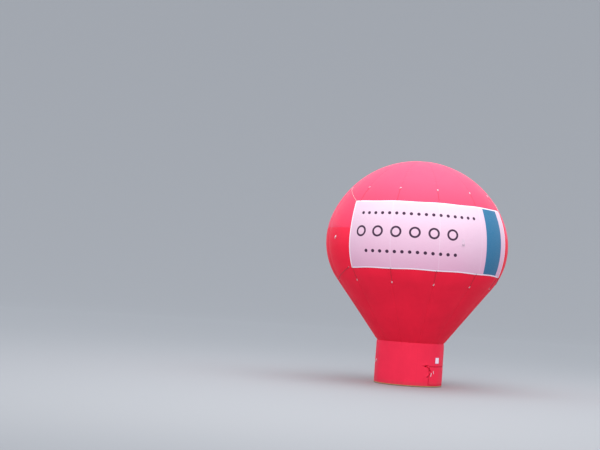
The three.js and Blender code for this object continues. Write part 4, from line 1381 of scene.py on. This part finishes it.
def shortest_bow(azimuth, s):
    """How far the middle of a path must bow along the cloth for the path to be the shortest."""
    bows = np.linspace(-0.25, 0.25, 101)
    arc = np.sin(np.linspace(0, np.pi, len(s)))
    paths = [cloth_point(azimuth, s + bow * arc, 0.0, 0.0, 0) for bow in bows]
    return bows[np.argmin([running_length(path)[-1] for path in paths])]


def tie(name, azimuth, s, row, material, radius):
    """A taut cord from an eyelet to a small ring, knotted at both ends. It follows the eyelet's own seam,
    or goes the shortest way from a corner to the seam beyond."""
    seam = 30.0 * math.floor(azimuth / 30.0) + 15.0
    slanted = abs(azimuth - seam) > 1
    if slanted:
        seam = min(CORNER_SEAMS, key=lambda beyond: abs(beyond - azimuth))
    ring_at = ring_s[row] - (RING_LOW if row == "upper" else 0.0)
    steps = np.linspace(0, 1, 41)
    arc = np.sin(np.pi * steps)
    a, at = azimuth + (seam - azimuth) * steps, s + (ring_at - s) * steps
    if slanted:
        at = at + shortest_bow(a, at) * arc
    r = meridian(at)[0]
    valley = gore_depth(at, r) * seam_of(a)[1] ** 2
    banner_level = banner_lift(a, at) + BANNER_THICK + (1 - BANNER_FOLLOW) * valley
    over_banner = (at > BANNER_LOW - BANNER_MARGIN) & (at < BANNER_HIGH + BANNER_MARGIN)
    lift = radius + CORD_LIFT + (0.0 if slanted else OFF_SEAM) * np.sqrt(arc)
    path = cloth_point(a, at, np.where(over_banner, banner_level, relief(a, at, r)) + lift, 1.0, 0)
    for _ in range(SMOOTHING):
        path[1:-1] = (path[:-2] + 2 * path[1:-1] + path[2:]) / 4
    parts = [tube(name, path, radius, 8)]
    for end, ahead in ((2, 4), (-3, -5)):
        knot = coil(path[end], path[ahead] - path[end], KNOT["radius"] * radius, KNOT["pitch"] * radius)
        parts.append(tube("knot", knot, KNOT["cord"] * radius, 6))
    made = joined(name, parts)
    made.data.shade_smooth()
    finish_piece(made, material)


TIE_KINDS = (("hem", hem_ties, cord_red, HEM_CORD), ("corner", corner_ties, cord_light, CORNER_CORD))
for kind, ties, upper_cord, radius in TIE_KINDS:
    for count, (azimuth, s, row) in enumerate(ties):
        material = cord_dark if row == "lower" else upper_cord
        tie(f"{kind}_tie_{count + 1:02d}", azimuth, s, row, material, radius)
print("ties:", len(hem_ties) + len(corner_ties))

# %% [markdown]
# ## Label pocket
# Above the flap sits a pocket of clear film with a blank card in it, welded on along its border.

# %% Make the label
LABEL_WIDTH = 0.170
LABEL_FACES = (0.0024, 0.0006)  # heights of the outer and the inner face above the cloth
LABEL_GRID = 35  # points across and up
CARD = {"thick": 0.0012, "inset": 0.010, "edge": 0.004}
CARD_WHITE, WELD_RED = (0.94, 0.77, 0.87), (0.62, 0.06, 0.16)
label_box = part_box("blank_label")
label_low, label_high = (corner.z for corner in label_box)
label_azimuth = math.degrees(math.atan2(label_box[0].x + label_box[1].x, -label_box[0].y - label_box[1].y))
across = label_azimuth + drum_degrees(LABEL_WIDTH / 2) * np.linspace(-1, 1, LABEL_GRID)
a, z = np.meshgrid(across, np.linspace(label_low, label_high, LABEL_GRID))
sideways = np.radians(a - label_azimuth) * drum_radius
border = np.minimum(LABEL_WIDTH / 2 - np.abs(sideways), np.minimum(z - label_low, label_high - z))
card = CARD["thick"] * np.clip((border - CARD["inset"]) / CARD["edge"], 0, 1)
label = cloth_shell("label_pocket", a, z - neck_z, (LABEL_FACES[0] + card, LABEL_FACES[1]),
                    (sideways, z - label_low), from_seam=border)

# The card lies under clear film: glossy, slightly wavy, with a welded border that shows the cloth.
film, _, spot = new_material("label_film")
weld = ranged(attribute(film, "from_seam"), 0.015, 0.012)
finish_piece(label, shade(film, {
    "Base Color": mixed(weld, CARD_WHITE, WELD_RED), "Roughness": drift(0.16, 0.30, spot, 40.0),
    "Normal": bumped(noise(spot, 22.0), 0.004, 0.35), "Coat Weight": 0.5, "Coat Roughness": 0.12,
}), stands_for="blank_label")
print("label:", round(label_azimuth, 1), "degrees round,", round(label_high - label_low, 3), "m high")

# %% [markdown]
# ## Fan
# An axial fan on a stand blows through a sleeve into the drum. From behind it shows a wire guard, a
# seven-bladed impeller with the motor behind it, and a painted duct with a rolled lip. Turned shapes
# come from profiles, the blades are twisted grids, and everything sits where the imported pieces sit.

# %% Paint and plastic
COAT_GREY, RUBBED_GREY, FLOOR_DUST = (0.060, 0.070, 0.080), (0.20, 0.20, 0.20), (0.22, 0.19, 0.16)

# Powder coat has a fine orange peel, and is rubbed paler where the noise says so and dusty low down.
fan_paint, _, spot = new_material("fan_powder_coat")
rubbed = ranged(noise(spot, 26.0, 7.0, 0.7), 0.66, 0.74)
coat = mixed(times(rubbed, 0.5), COAT_GREY, RUBBED_GREY)
dust = ranged(parts_of(spot)["Z"], 0.16, 0.0, 0.0, 0.35)
shade(fan_paint, {
    "Base Color": mixed(dust, coat, FLOOR_DUST), "Roughness": drift(0.34, 0.54, spot, 12.0, 5.0),
    "Normal": bumped(noise(spot, 330.0, 2.0), 0.0004, 0.35), "Specular IOR Level": 0.5,
})
fan_plastic = moulded("fan_nylon", (0.020, 0.020, 0.022), 0.45)
rubber = moulded("fan_rubber", (0.016, 0.016, 0.016), 0.8, 90.0)


def ends_of(node):
    """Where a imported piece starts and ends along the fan's axis."""
    return [corner.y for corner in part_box(node)]


def about_axis(part, turn, y=0.0):
    """Moves a part that was made at the origin to the fan's axis, at a turn about it."""
    part.data.transform(Matrix.Translation((0, y, FAN_Z)) @ Matrix.Rotation(turn, 4, "Y"))
    return part


on_fan_axis = partial(turned, axis="Y", height=FAN_Z)
print("paint, plastic and rubber ready")

# %% Duct and motor
DUCT_OUTER, DUCT_INNER = 0.200, 0.196
LIP_RADIUS = 0.0075
BEAD = ((-0.005, 0.0), (-0.002, 0.0022), (0.0, 0.0028), (0.002, 0.0022), (0.005, 0.0))  # along and out
duct_start, duct_end = ends_of("fan_duct")
duct_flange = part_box("fan_duct")[1].x
profile = [(DUCT_INNER, duct_start), (DUCT_OUTER, duct_start)]
for middle in (duct_start + 0.055, duct_end - 0.060):
    profile += [(DUCT_OUTER + out, middle + y) for y, out in BEAD]
profile += [(DUCT_OUTER, duct_end - 2 * LIP_RADIUS - 0.004)]
profile += round_corner(duct_flange - LIP_RADIUS, duct_end - LIP_RADIUS, LIP_RADIUS, -120, 90, 14)
profile += [(DUCT_OUTER + 0.001, duct_end)]
profile += round_corner(DUCT_INNER + 0.003, duct_end - 0.003, 0.003, 90, 180, 5)
finish_piece(on_fan_axis("duct", profile, sides=128), fan_paint, stands_for="fan_duct")

MOTOR_RADIUS, MOTOR_CORE, FINS = 0.064, 0.053, 11
FIN = ((MOTOR_CORE, -0.0016), (MOTOR_RADIUS, -0.0011), (MOTOR_RADIUS, 0.0011), (MOTOR_CORE, 0.0016))
ARM_Y = 1.150
ARM_PARTS = (  # an arm, its foot on the duct and a bolt: size, middle and the radius of the edges
    ((DUCT_INNER - MOTOR_CORE + 0.002, 0.006, 0.026), ((DUCT_INNER + MOTOR_CORE - 0.006) / 2, 0, 0), 0.0015),
    ((0.004, 0.030, 0.046), (DUCT_INNER - 0.0045, 0, 0), 0.0012),
    ((0.004, 0.008, 0.008), (DUCT_INNER - 0.008, 0, 0.013), 0.0012),
)
motor_start, motor_end = ends_of("fan_motor")
profile = [(0, motor_start)] + round_corner(0.040, motor_start + 0.012, 0.012, -90, 0)
profile += [(MOTOR_CORE, motor_start + 0.016)]
for middle in np.linspace(motor_start + 0.022, motor_end - 0.020, FINS):
    profile += [(r, middle + y) for r, y in FIN]
profile += round_corner(MOTOR_CORE - 0.004, motor_end - 0.004, 0.004, 0, 90, 4)
profile += [(0.016, motor_end), (0, motor_end)]
arms = [about_axis(rounded_box("arm", *part), math.radians(turn), ARM_Y)
        for turn in (45, 135, 225, 315) for part in ARM_PARTS]
motor = joined("motor_and_arms", [on_fan_axis("motor", profile, sides=64)] + arms)
finish_piece(smooth_but(35, motor), fan_paint, stands_for="fan_motor")
print("motor arms:", len(arms) // len(ARM_PARTS))

# %% Impeller
BLADES = 7
WHEEL_DEPTH = 0.066
HUB_RADIUS, TIP_RADIUS = 0.058, 0.1865
ROOT_RADIUS = HUB_RADIUS - 0.004  # the blades start inside the hub
BLADE = {"pitch": 40, "untwist": 16, "half": 0.036, "widening": 0.013, "sweep": 0.014, "camber": 0.0055}
BLADE_THICK = {"root": 0.0032, "less_at_tip": 0.0014}
wheel_end = ends_of("fan_impeller")[1]
wheel_start = wheel_end - WHEEL_DEPTH


def blade(turn):
    """One twisted, cambered blade."""
    reach, chord = np.meshgrid(np.linspace(0, 1, 15), np.linspace(-1, 1, 17), indexing="ij")
    radius = ROOT_RADIUS + (TIP_RADIUS - ROOT_RADIUS) * reach
    pitch = np.radians(BLADE["pitch"] - BLADE["untwist"] * reach)
    half = BLADE["half"] + BLADE["widening"] * np.sin(np.pi * (0.18 + 0.62 * reach))
    flat, camber = chord * half + BLADE["sweep"] * reach**2, BLADE["camber"] * (1 - chord**2)
    thick = BLADE_THICK["root"] - BLADE_THICK["less_at_tip"] * reach
    thick = thick * np.sqrt(1 - (0.94 * chord) ** 2)  # round at its edges, and not quite sharp
    sides = []
    for rise in (camber + thick / 2, camber - thick / 2):
        angle = turn + (flat * np.cos(pitch) - rise * np.sin(pitch)) / radius
        y = (wheel_start + wheel_end) / 2 + flat * np.sin(pitch) + rise * np.cos(pitch)
        sides.append(np.stack([radius * np.sin(angle), y, FAN_Z + radius * np.cos(angle)], -1))
    return clean_up(shell("blade", *sides, (chord * half, radius)))


profile = [(0.0, wheel_start + 0.002), (0.030, wheel_start), (HUB_RADIUS - 0.002, wheel_start)]
profile += [(HUB_RADIUS, wheel_start + 0.002), (HUB_RADIUS, wheel_end - 0.016)]
profile += round_corner(HUB_RADIUS - 0.016, wheel_end - 0.016, 0.016, 0, 80, 8)
profile += [(0.018, wheel_end - 0.001), (0.016, wheel_end - 0.005), (0, wheel_end - 0.005)]
hub = on_fan_axis("hub", profile, sides=64)
shaft_start, shaft_end = motor_end + 0.0005, wheel_start + 0.004
profile = [(0, shaft_start), (0.009, shaft_start), (0.009, shaft_end), (0, shaft_end)]
shaft = on_fan_axis("shaft", profile, sides=24)
impeller = joined("impeller", [hub] + [blade((k + 0.5) * 2 * math.pi / BLADES) for k in range(BLADES)])
finish_piece(smooth_but(40, impeller), fan_plastic, "fan_impeller", "fan_impeller")
finish_piece(shaft, zinc, "fan_impeller")
print("impeller faces:", len(impeller.data.polygons))

# %% Guard
GUARD_RADII = (0.060, 0.078, 0.095, 0.112, 0.129, 0.146, 0.163, 0.180)
GUARD_WIRE = 0.0019
GUARD_RIM = (0.205, 1.3 * GUARD_WIRE)
SPOKE = {"count": 6, "wire": 0.0022, "stops": (0.036, 0.10, 0.19, 0.2055)}
CLIP_SIZE, CLIP_RADIUS = (0.016, 0.004, 0.012), 0.2065
DISC = {"radius": 0.040, "edge": 0.0016, "dish": 0.0013, "crown": 0.0020}
guard_y = ends_of("fan_guard")[0]
ring_y, spoke_y = guard_y + 0.0058, guard_y + 0.0024
guard_parts = [
    on_fan_axis("wire", ring_profile(radius, wire) + (0, ring_y))
    for radius, wire in [(radius, GUARD_WIRE) for radius in GUARD_RADII] + [GUARD_RIM]
]
for k in range(SPOKE["count"]):
    turn = 2 * math.pi * k / SPOKE["count"]
    spoke_path = [(r * math.sin(turn), spoke_y, FAN_Z + r * math.cos(turn)) for r in SPOKE["stops"]]
    clip = rounded_box("clip", CLIP_SIZE, (0, guard_y + 0.0022, CLIP_RADIUS), 0.001)
    guard_parts += [tube("spoke", spoke_path, SPOKE["wire"], 8), about_axis(clip, turn)]
profile = [(0, ring_y - DISC["dish"])] + round_corner(DISC["radius"], ring_y, DISC["edge"], -90, 90, 5)
profile += [(0, ring_y + DISC["crown"])]
guard = joined("guard_wires", guard_parts + [on_fan_axis("disc", profile, sides=64)])
finish_piece(smooth_but(45, guard), zinc, stands_for="fan_guard")
print("guard rings:", len(GUARD_RADII) + 1)

# %% Stand
STAND_WIDTH, PLATE_THICK, STAND_TOP, RAIL = 0.320, 0.012, 0.128, 0.022
PLATE_Y = (1.235, 1.315)
PLATE_CORNER = {"radius": 0.012, "from": math.degrees(0.2)}


def cradle_plate(y):
    """An upright plate cut to the duct's round, with rounded upper corners."""
    half, cradle = STAND_WIDTH / 2, DUCT_OUTER + 0.0012
    edge_z = STAND_TOP - 0.001
    start = math.degrees(math.acos((FAN_Z - edge_z) / cradle))
    radius, first = PLATE_CORNER.values()
    corner_x, corner_z = half - radius, edge_z - radius
    outline = [(-half, RAIL / 2), (half, RAIL / 2), (half, corner_z)]
    outline += round_corner(corner_x, corner_z, radius, first, 90, 6)
    outline += round_corner(0, FAN_Z, cradle, start - 90, -start - 90, 33)
    outline += round_corner(-corner_x, corner_z, radius, 90, 180 - first, 6) + [(-half, corner_z)]
    mesh = bmesh.new()
    face = mesh.faces.new([mesh.verts.new((x, y - PLATE_THICK / 2, z)) for x, z in outline])
    far = bmesh.ops.extrude_face_region(mesh, geom=[face])["geom"]
    far = [part for part in far if isinstance(part, bmesh.types.BMVert)]
    bmesh.ops.translate(mesh, vec=(0, PLATE_THICK, 0), verts=far)
    bmesh.ops.recalc_face_normals(mesh, faces=mesh.faces)
    return from_bmesh("plate", mesh)


rail_middle, rail_length = sum(PLATE_Y) / 2, PLATE_Y[1] - PLATE_Y[0] + 0.080
stand_parts, feet = [cradle_plate(y) for y in PLATE_Y], []
RAIL_SIZE, BOLT_SIZE = (RAIL, rail_length - 0.012, RAIL - 0.004), (0.010, PLATE_THICK + 0.010, 0.010)
FOOT_SIZE, FOOT_INSET = (RAIL + 0.001, 0.034, 0.0115), 0.017
CAP_SIZE, CAP_INSET = (RAIL + 0.0005, 0.007, RAIL - 0.002), 0.0035
for side in (-1, 1):
    x = side * (STAND_WIDTH - RAIL) / 2
    stand_parts.append(rounded_box("rail", RAIL_SIZE, (x, rail_middle, RAIL / 2 + 0.002), 0.002))
    for end in (-1, 1):
        foot_y, cap_y = (rail_middle + end * (rail_length / 2 - inset) for inset in (FOOT_INSET, CAP_INSET))
        feet.append(rounded_box("foot", FOOT_SIZE, (x, foot_y, FOOT_SIZE[2] / 2), 0.002))
        feet.append(rounded_box("cap", CAP_SIZE, (x, cap_y, RAIL / 2 + 0.001), 0.002))
    for y in PLATE_Y:
        stand_parts.append(rounded_box("bolt", BOLT_SIZE, (side * 0.120, y, 0.052), 0.002))
stand = smooth_but(35, joined("stand", stand_parts))
finish_piece(stand, fan_paint, stands_for="fan_stand")
finish_piece(joined("stand_feet", feet), rubber)
print("stand plates and feet:", len(PLATE_Y), len(feet) // 2)

# %% Switch box
box_low, box_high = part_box("fan_switch_box")
middle, size = (box_low + box_high) / 2, box_high - box_low
saddle_z = FAN_Z + math.sqrt(DUCT_OUTER**2 - 0.05**2)
saddle_low, saddle_high = box_low.y + 0.010, box_high.y - 0.010
profile = [(0.0008, saddle_low), (0.004, saddle_low), (0.004, saddle_high), (0.0008, saddle_high)]
saddle = on_fan_axis("saddle", [(DUCT_OUTER + out, y) for out, y in profile], sides=128)
finish_piece(saddle, fan_paint)
case_size, case_middle = (size.x, size.y, box_high.z - saddle_z), (0, middle.y, (box_high.z + saddle_z) / 2)
switch_case = joined("switch_case", [
    rounded_box("case", case_size, case_middle, 0.006, 4),
    rounded_box("cover", (size.x + 0.001, size.y + 0.001, 0.0035), (0, middle.y, box_high.z - 0.014), 0.001),
])
finish_piece(smooth_but(35, switch_case), fan_plastic, stands_for="fan_switch_box")

rocker_green = moulded("rocker_green", (0.020, 0.160, 0.045), 0.35)
SWITCH_PARTS = (  # name, size, middle, radius of the edges, how many steps round them, and material
    ("rocker", (0.026, 0.018, 0.010), (-0.026, middle.y, box_high.z - 0.0045), 0.003, 3, rocker_green),
    ("rocker_bezel", (0.034, 0.026, 0.0022), (-0.026, middle.y, box_high.z + 0.0002), 0.0008, 2, fan_plastic),
    ("power_inlet", (0.038, 0.006, 0.028), (0.0, box_high.y - 0.0025, middle.z + 0.002), 0.0027, 3, rubber),
)
for *form, material in SWITCH_PARTS:
    finish_piece(rounded_box(*form), material)
pins = [rounded_box("pin", (0.0022, 0.004, 0.009), (x, box_high.y + 0.0012, middle.z + up), 0.0006)
        for x, up in ((-0.008, -0.002), (0.0, 0.005), (0.008, -0.002))]
finish_piece(joined("inlet_pins", pins), zinc)
screw_places = [place_at((x, y, box_high.z), (1, 0, 0), (0, 1, 0)) for x in (-0.046, 0.046)
                for y in (box_low.y + 0.009, box_high.y - 0.009)]
profile = [(0, -0.001), (0.0032, -0.001), (0.0030, 0.0008), (0.0015, 0.0015), (0, 0.0015)]
repeated("case_screws", turned("screw", profile, sides=12), screw_places, zinc)
print("switch box parts:", len(SWITCH_PARTS), "pins:", len(pins), "screws:", len(screw_places))

# %% Sleeve and strap
SLEEVE = {"root": 0.012, "thick": 0.0025, "over_duct": 0.0045, "least": 0.0032}
SLACK = {"swell": 0.010, "gather": 0.0035}  # how far the sleeve's cloth stands out
STRAP = {"pinch": 0.0035, "wide": 0.012, "flatten": 0.55, "follow": 0.3, "lift": 0.0012}
sleeve_end, (strap_low, strap_high) = ends_of("fan_sleeve")[1], ends_of("sleeve_strap")
strap_middle = (strap_low + strap_high) / 2
turns = full_turn(144)
sleeve_y = spread(drum_radius, strap_low, strap_high, sleeve_end, step=0.009)
sleeve_y = np.append(drum_radius - SLEEVE["root"], sleeve_y)
turn, y = np.meshgrid(turns, sleeve_y)
share = np.clip((y - drum_radius) / (strap_low - drum_radius), 0, 1)
gather = np.sin(26 * turn + 1.4 * np.sin(4 * turn)) * (0.7 + 0.3 * np.sin(7 * turn + 1))
loose = 1 - STRAP["flatten"] * ((y > strap_low) & (y < strap_high))
full = SLACK["swell"] * np.sin(np.pi * share) + SLACK["gather"] * gather * share * loose
pinch = STRAP["pinch"] * bump(y - strap_middle, STRAP["wide"])
wall = HOLE_RADIUS + (DUCT_OUTER + SLEEVE["over_duct"] - HOLE_RADIUS) * share**0.8 + full - pinch
wall = np.maximum(wall, DUCT_OUTER + SLEEVE["least"])
# The drum's wall is curved, so the sleeve's root follows it.
root = np.sqrt(np.maximum(drum_radius**2 - (wall * np.cos(turn)) ** 2, 0)) - 0.004
reach_y = np.where(y < drum_radius, root, np.maximum(y, root + (y - drum_radius) * 0.98))
outer, inner = (np.stack([-r * np.cos(turn), reach_y, FAN_Z + r * np.sin(turn)], -1)
                for r in (wall, wall - SLEEVE["thick"]))
sleeve = shell("sleeve_cloth", outer, inner, (turn * 0.21, y), closed=True,
               from_seam=np.minimum(y - drum_radius + SLEEVE["root"], sleeve_end - y))
finish_piece(clean_up(sleeve), red_cloth, stands_for="fan_sleeve")

under_strap = wall[np.argmin(np.abs(sleeve_y - strap_middle))]
strap_turns = full_turn(120)
strap_r = STRAP["follow"] * np.interp(strap_turns, turns, under_strap)
strap_r += (1 - STRAP["follow"]) * under_strap.max() + STRAP["lift"]
strap_x, strap_z = -strap_r * np.cos(strap_turns), FAN_Z + strap_r * np.sin(strap_turns)
strap_path = np.stack([strap_x, strap_middle + 0 * strap_turns, strap_z], -1)
strap = band("strap_webbing", strap_path, (0, 1, 0), strap_high - strap_low - 0.004, closed=True)
black_webbing = plain_cloth("black_webbing", (0.035, 0.033, 0.034), 520, 0.7, 0.15)
finish_piece(strap, black_webbing, stands_for="sleeve_strap")
buckle_r = under_strap.max() + 0.006
buckle = joined("strap_buckle", [
    rounded_box("frame", (0.046, 0.040, 0.006), (0, 0, buckle_r), 0.002),
    rounded_box("lever", (0.030, 0.034, 0.007), (0.004, 0, buckle_r + 0.005), 0.002),
])
finish_piece(about_axis(buckle, math.radians(38), strap_middle), zinc)
print("sleeve rows:", len(sleeve_y))

# %% [markdown]
# ## Pull loops
# Two short loops of white tape are sewn on the flap by their tops, where the photo has two pale
# strokes. A path goes down the front layer, round the bend and back up under it, and a band follows
# it. A bar of stitches holds the top.

# %% Sew the pull loops on
PULLS = (  # azimuth and height of the middle, then the lean in degrees and the length
    (43.3, flap_high - 0.210, 14.0, 0.100),
    (48.4, flap_high - 0.145, -12.0, 0.085),
)
PULL_WIDTH, PULL_THICK = 0.013, 0.0012
FRONT_LIFT, BACK_LIFT = (0.0036, 0.0100), (0.0014, 0.0034)  # above the cloth, at the top and at the bend


def pull_loop(name, azimuth, height, lean, length):
    """A loop of tape that hangs down the flap from its sewn top."""
    down, turns = np.linspace(0, 1, 13), np.radians(np.linspace(60, -60, 5))
    radius, bend = (FRONT_LIFT[1] - BACK_LIFT[1]) / 2, (FRONT_LIFT[1] + BACK_LIFT[1]) / 2
    runs = [length * down, length + radius * np.cos(turns), length * down[::-1]]
    lifts = [FRONT_LIFT[0] + (FRONT_LIFT[1] - FRONT_LIFT[0]) * down**0.6, bend + radius * np.sin(turns),
             BACK_LIFT[0] + (BACK_LIFT[1] - BACK_LIFT[0]) * down[::-1]]
    run, lift = length / 2 - np.concatenate(runs), np.concatenate(lifts)
    rightward, upward = math.sin(math.radians(lean)), math.cos(math.radians(lean))
    path = cloth_point(azimuth + drum_degrees(run * rightward), height + run * upward - neck_z, lift)
    place = place_on(cloth_point, azimuth, height - neck_z)
    across = place.col[0].xyz * upward - place.col[1].xyz * rightward
    made = band(name, path, across, PULL_WIDTH, PULL_THICK)
    finish_piece(made, white_webbing, "access_flap")
    stitches = rounded_box(name + "_stitches", (1.2 * PULL_WIDTH, 0.006, 0.005), (0, -0.005, -0.0005), 0.001)
    stitches.data.transform(place_at(path[0], across, path[0] - path[1]))
    finish_piece(stitches, zip_plastic, "access_flap")


for count, pull in enumerate(PULLS):
    pull_loop(f"pull_loop_{count + 1}", *pull)
print("pull loops:", len(PULLS))
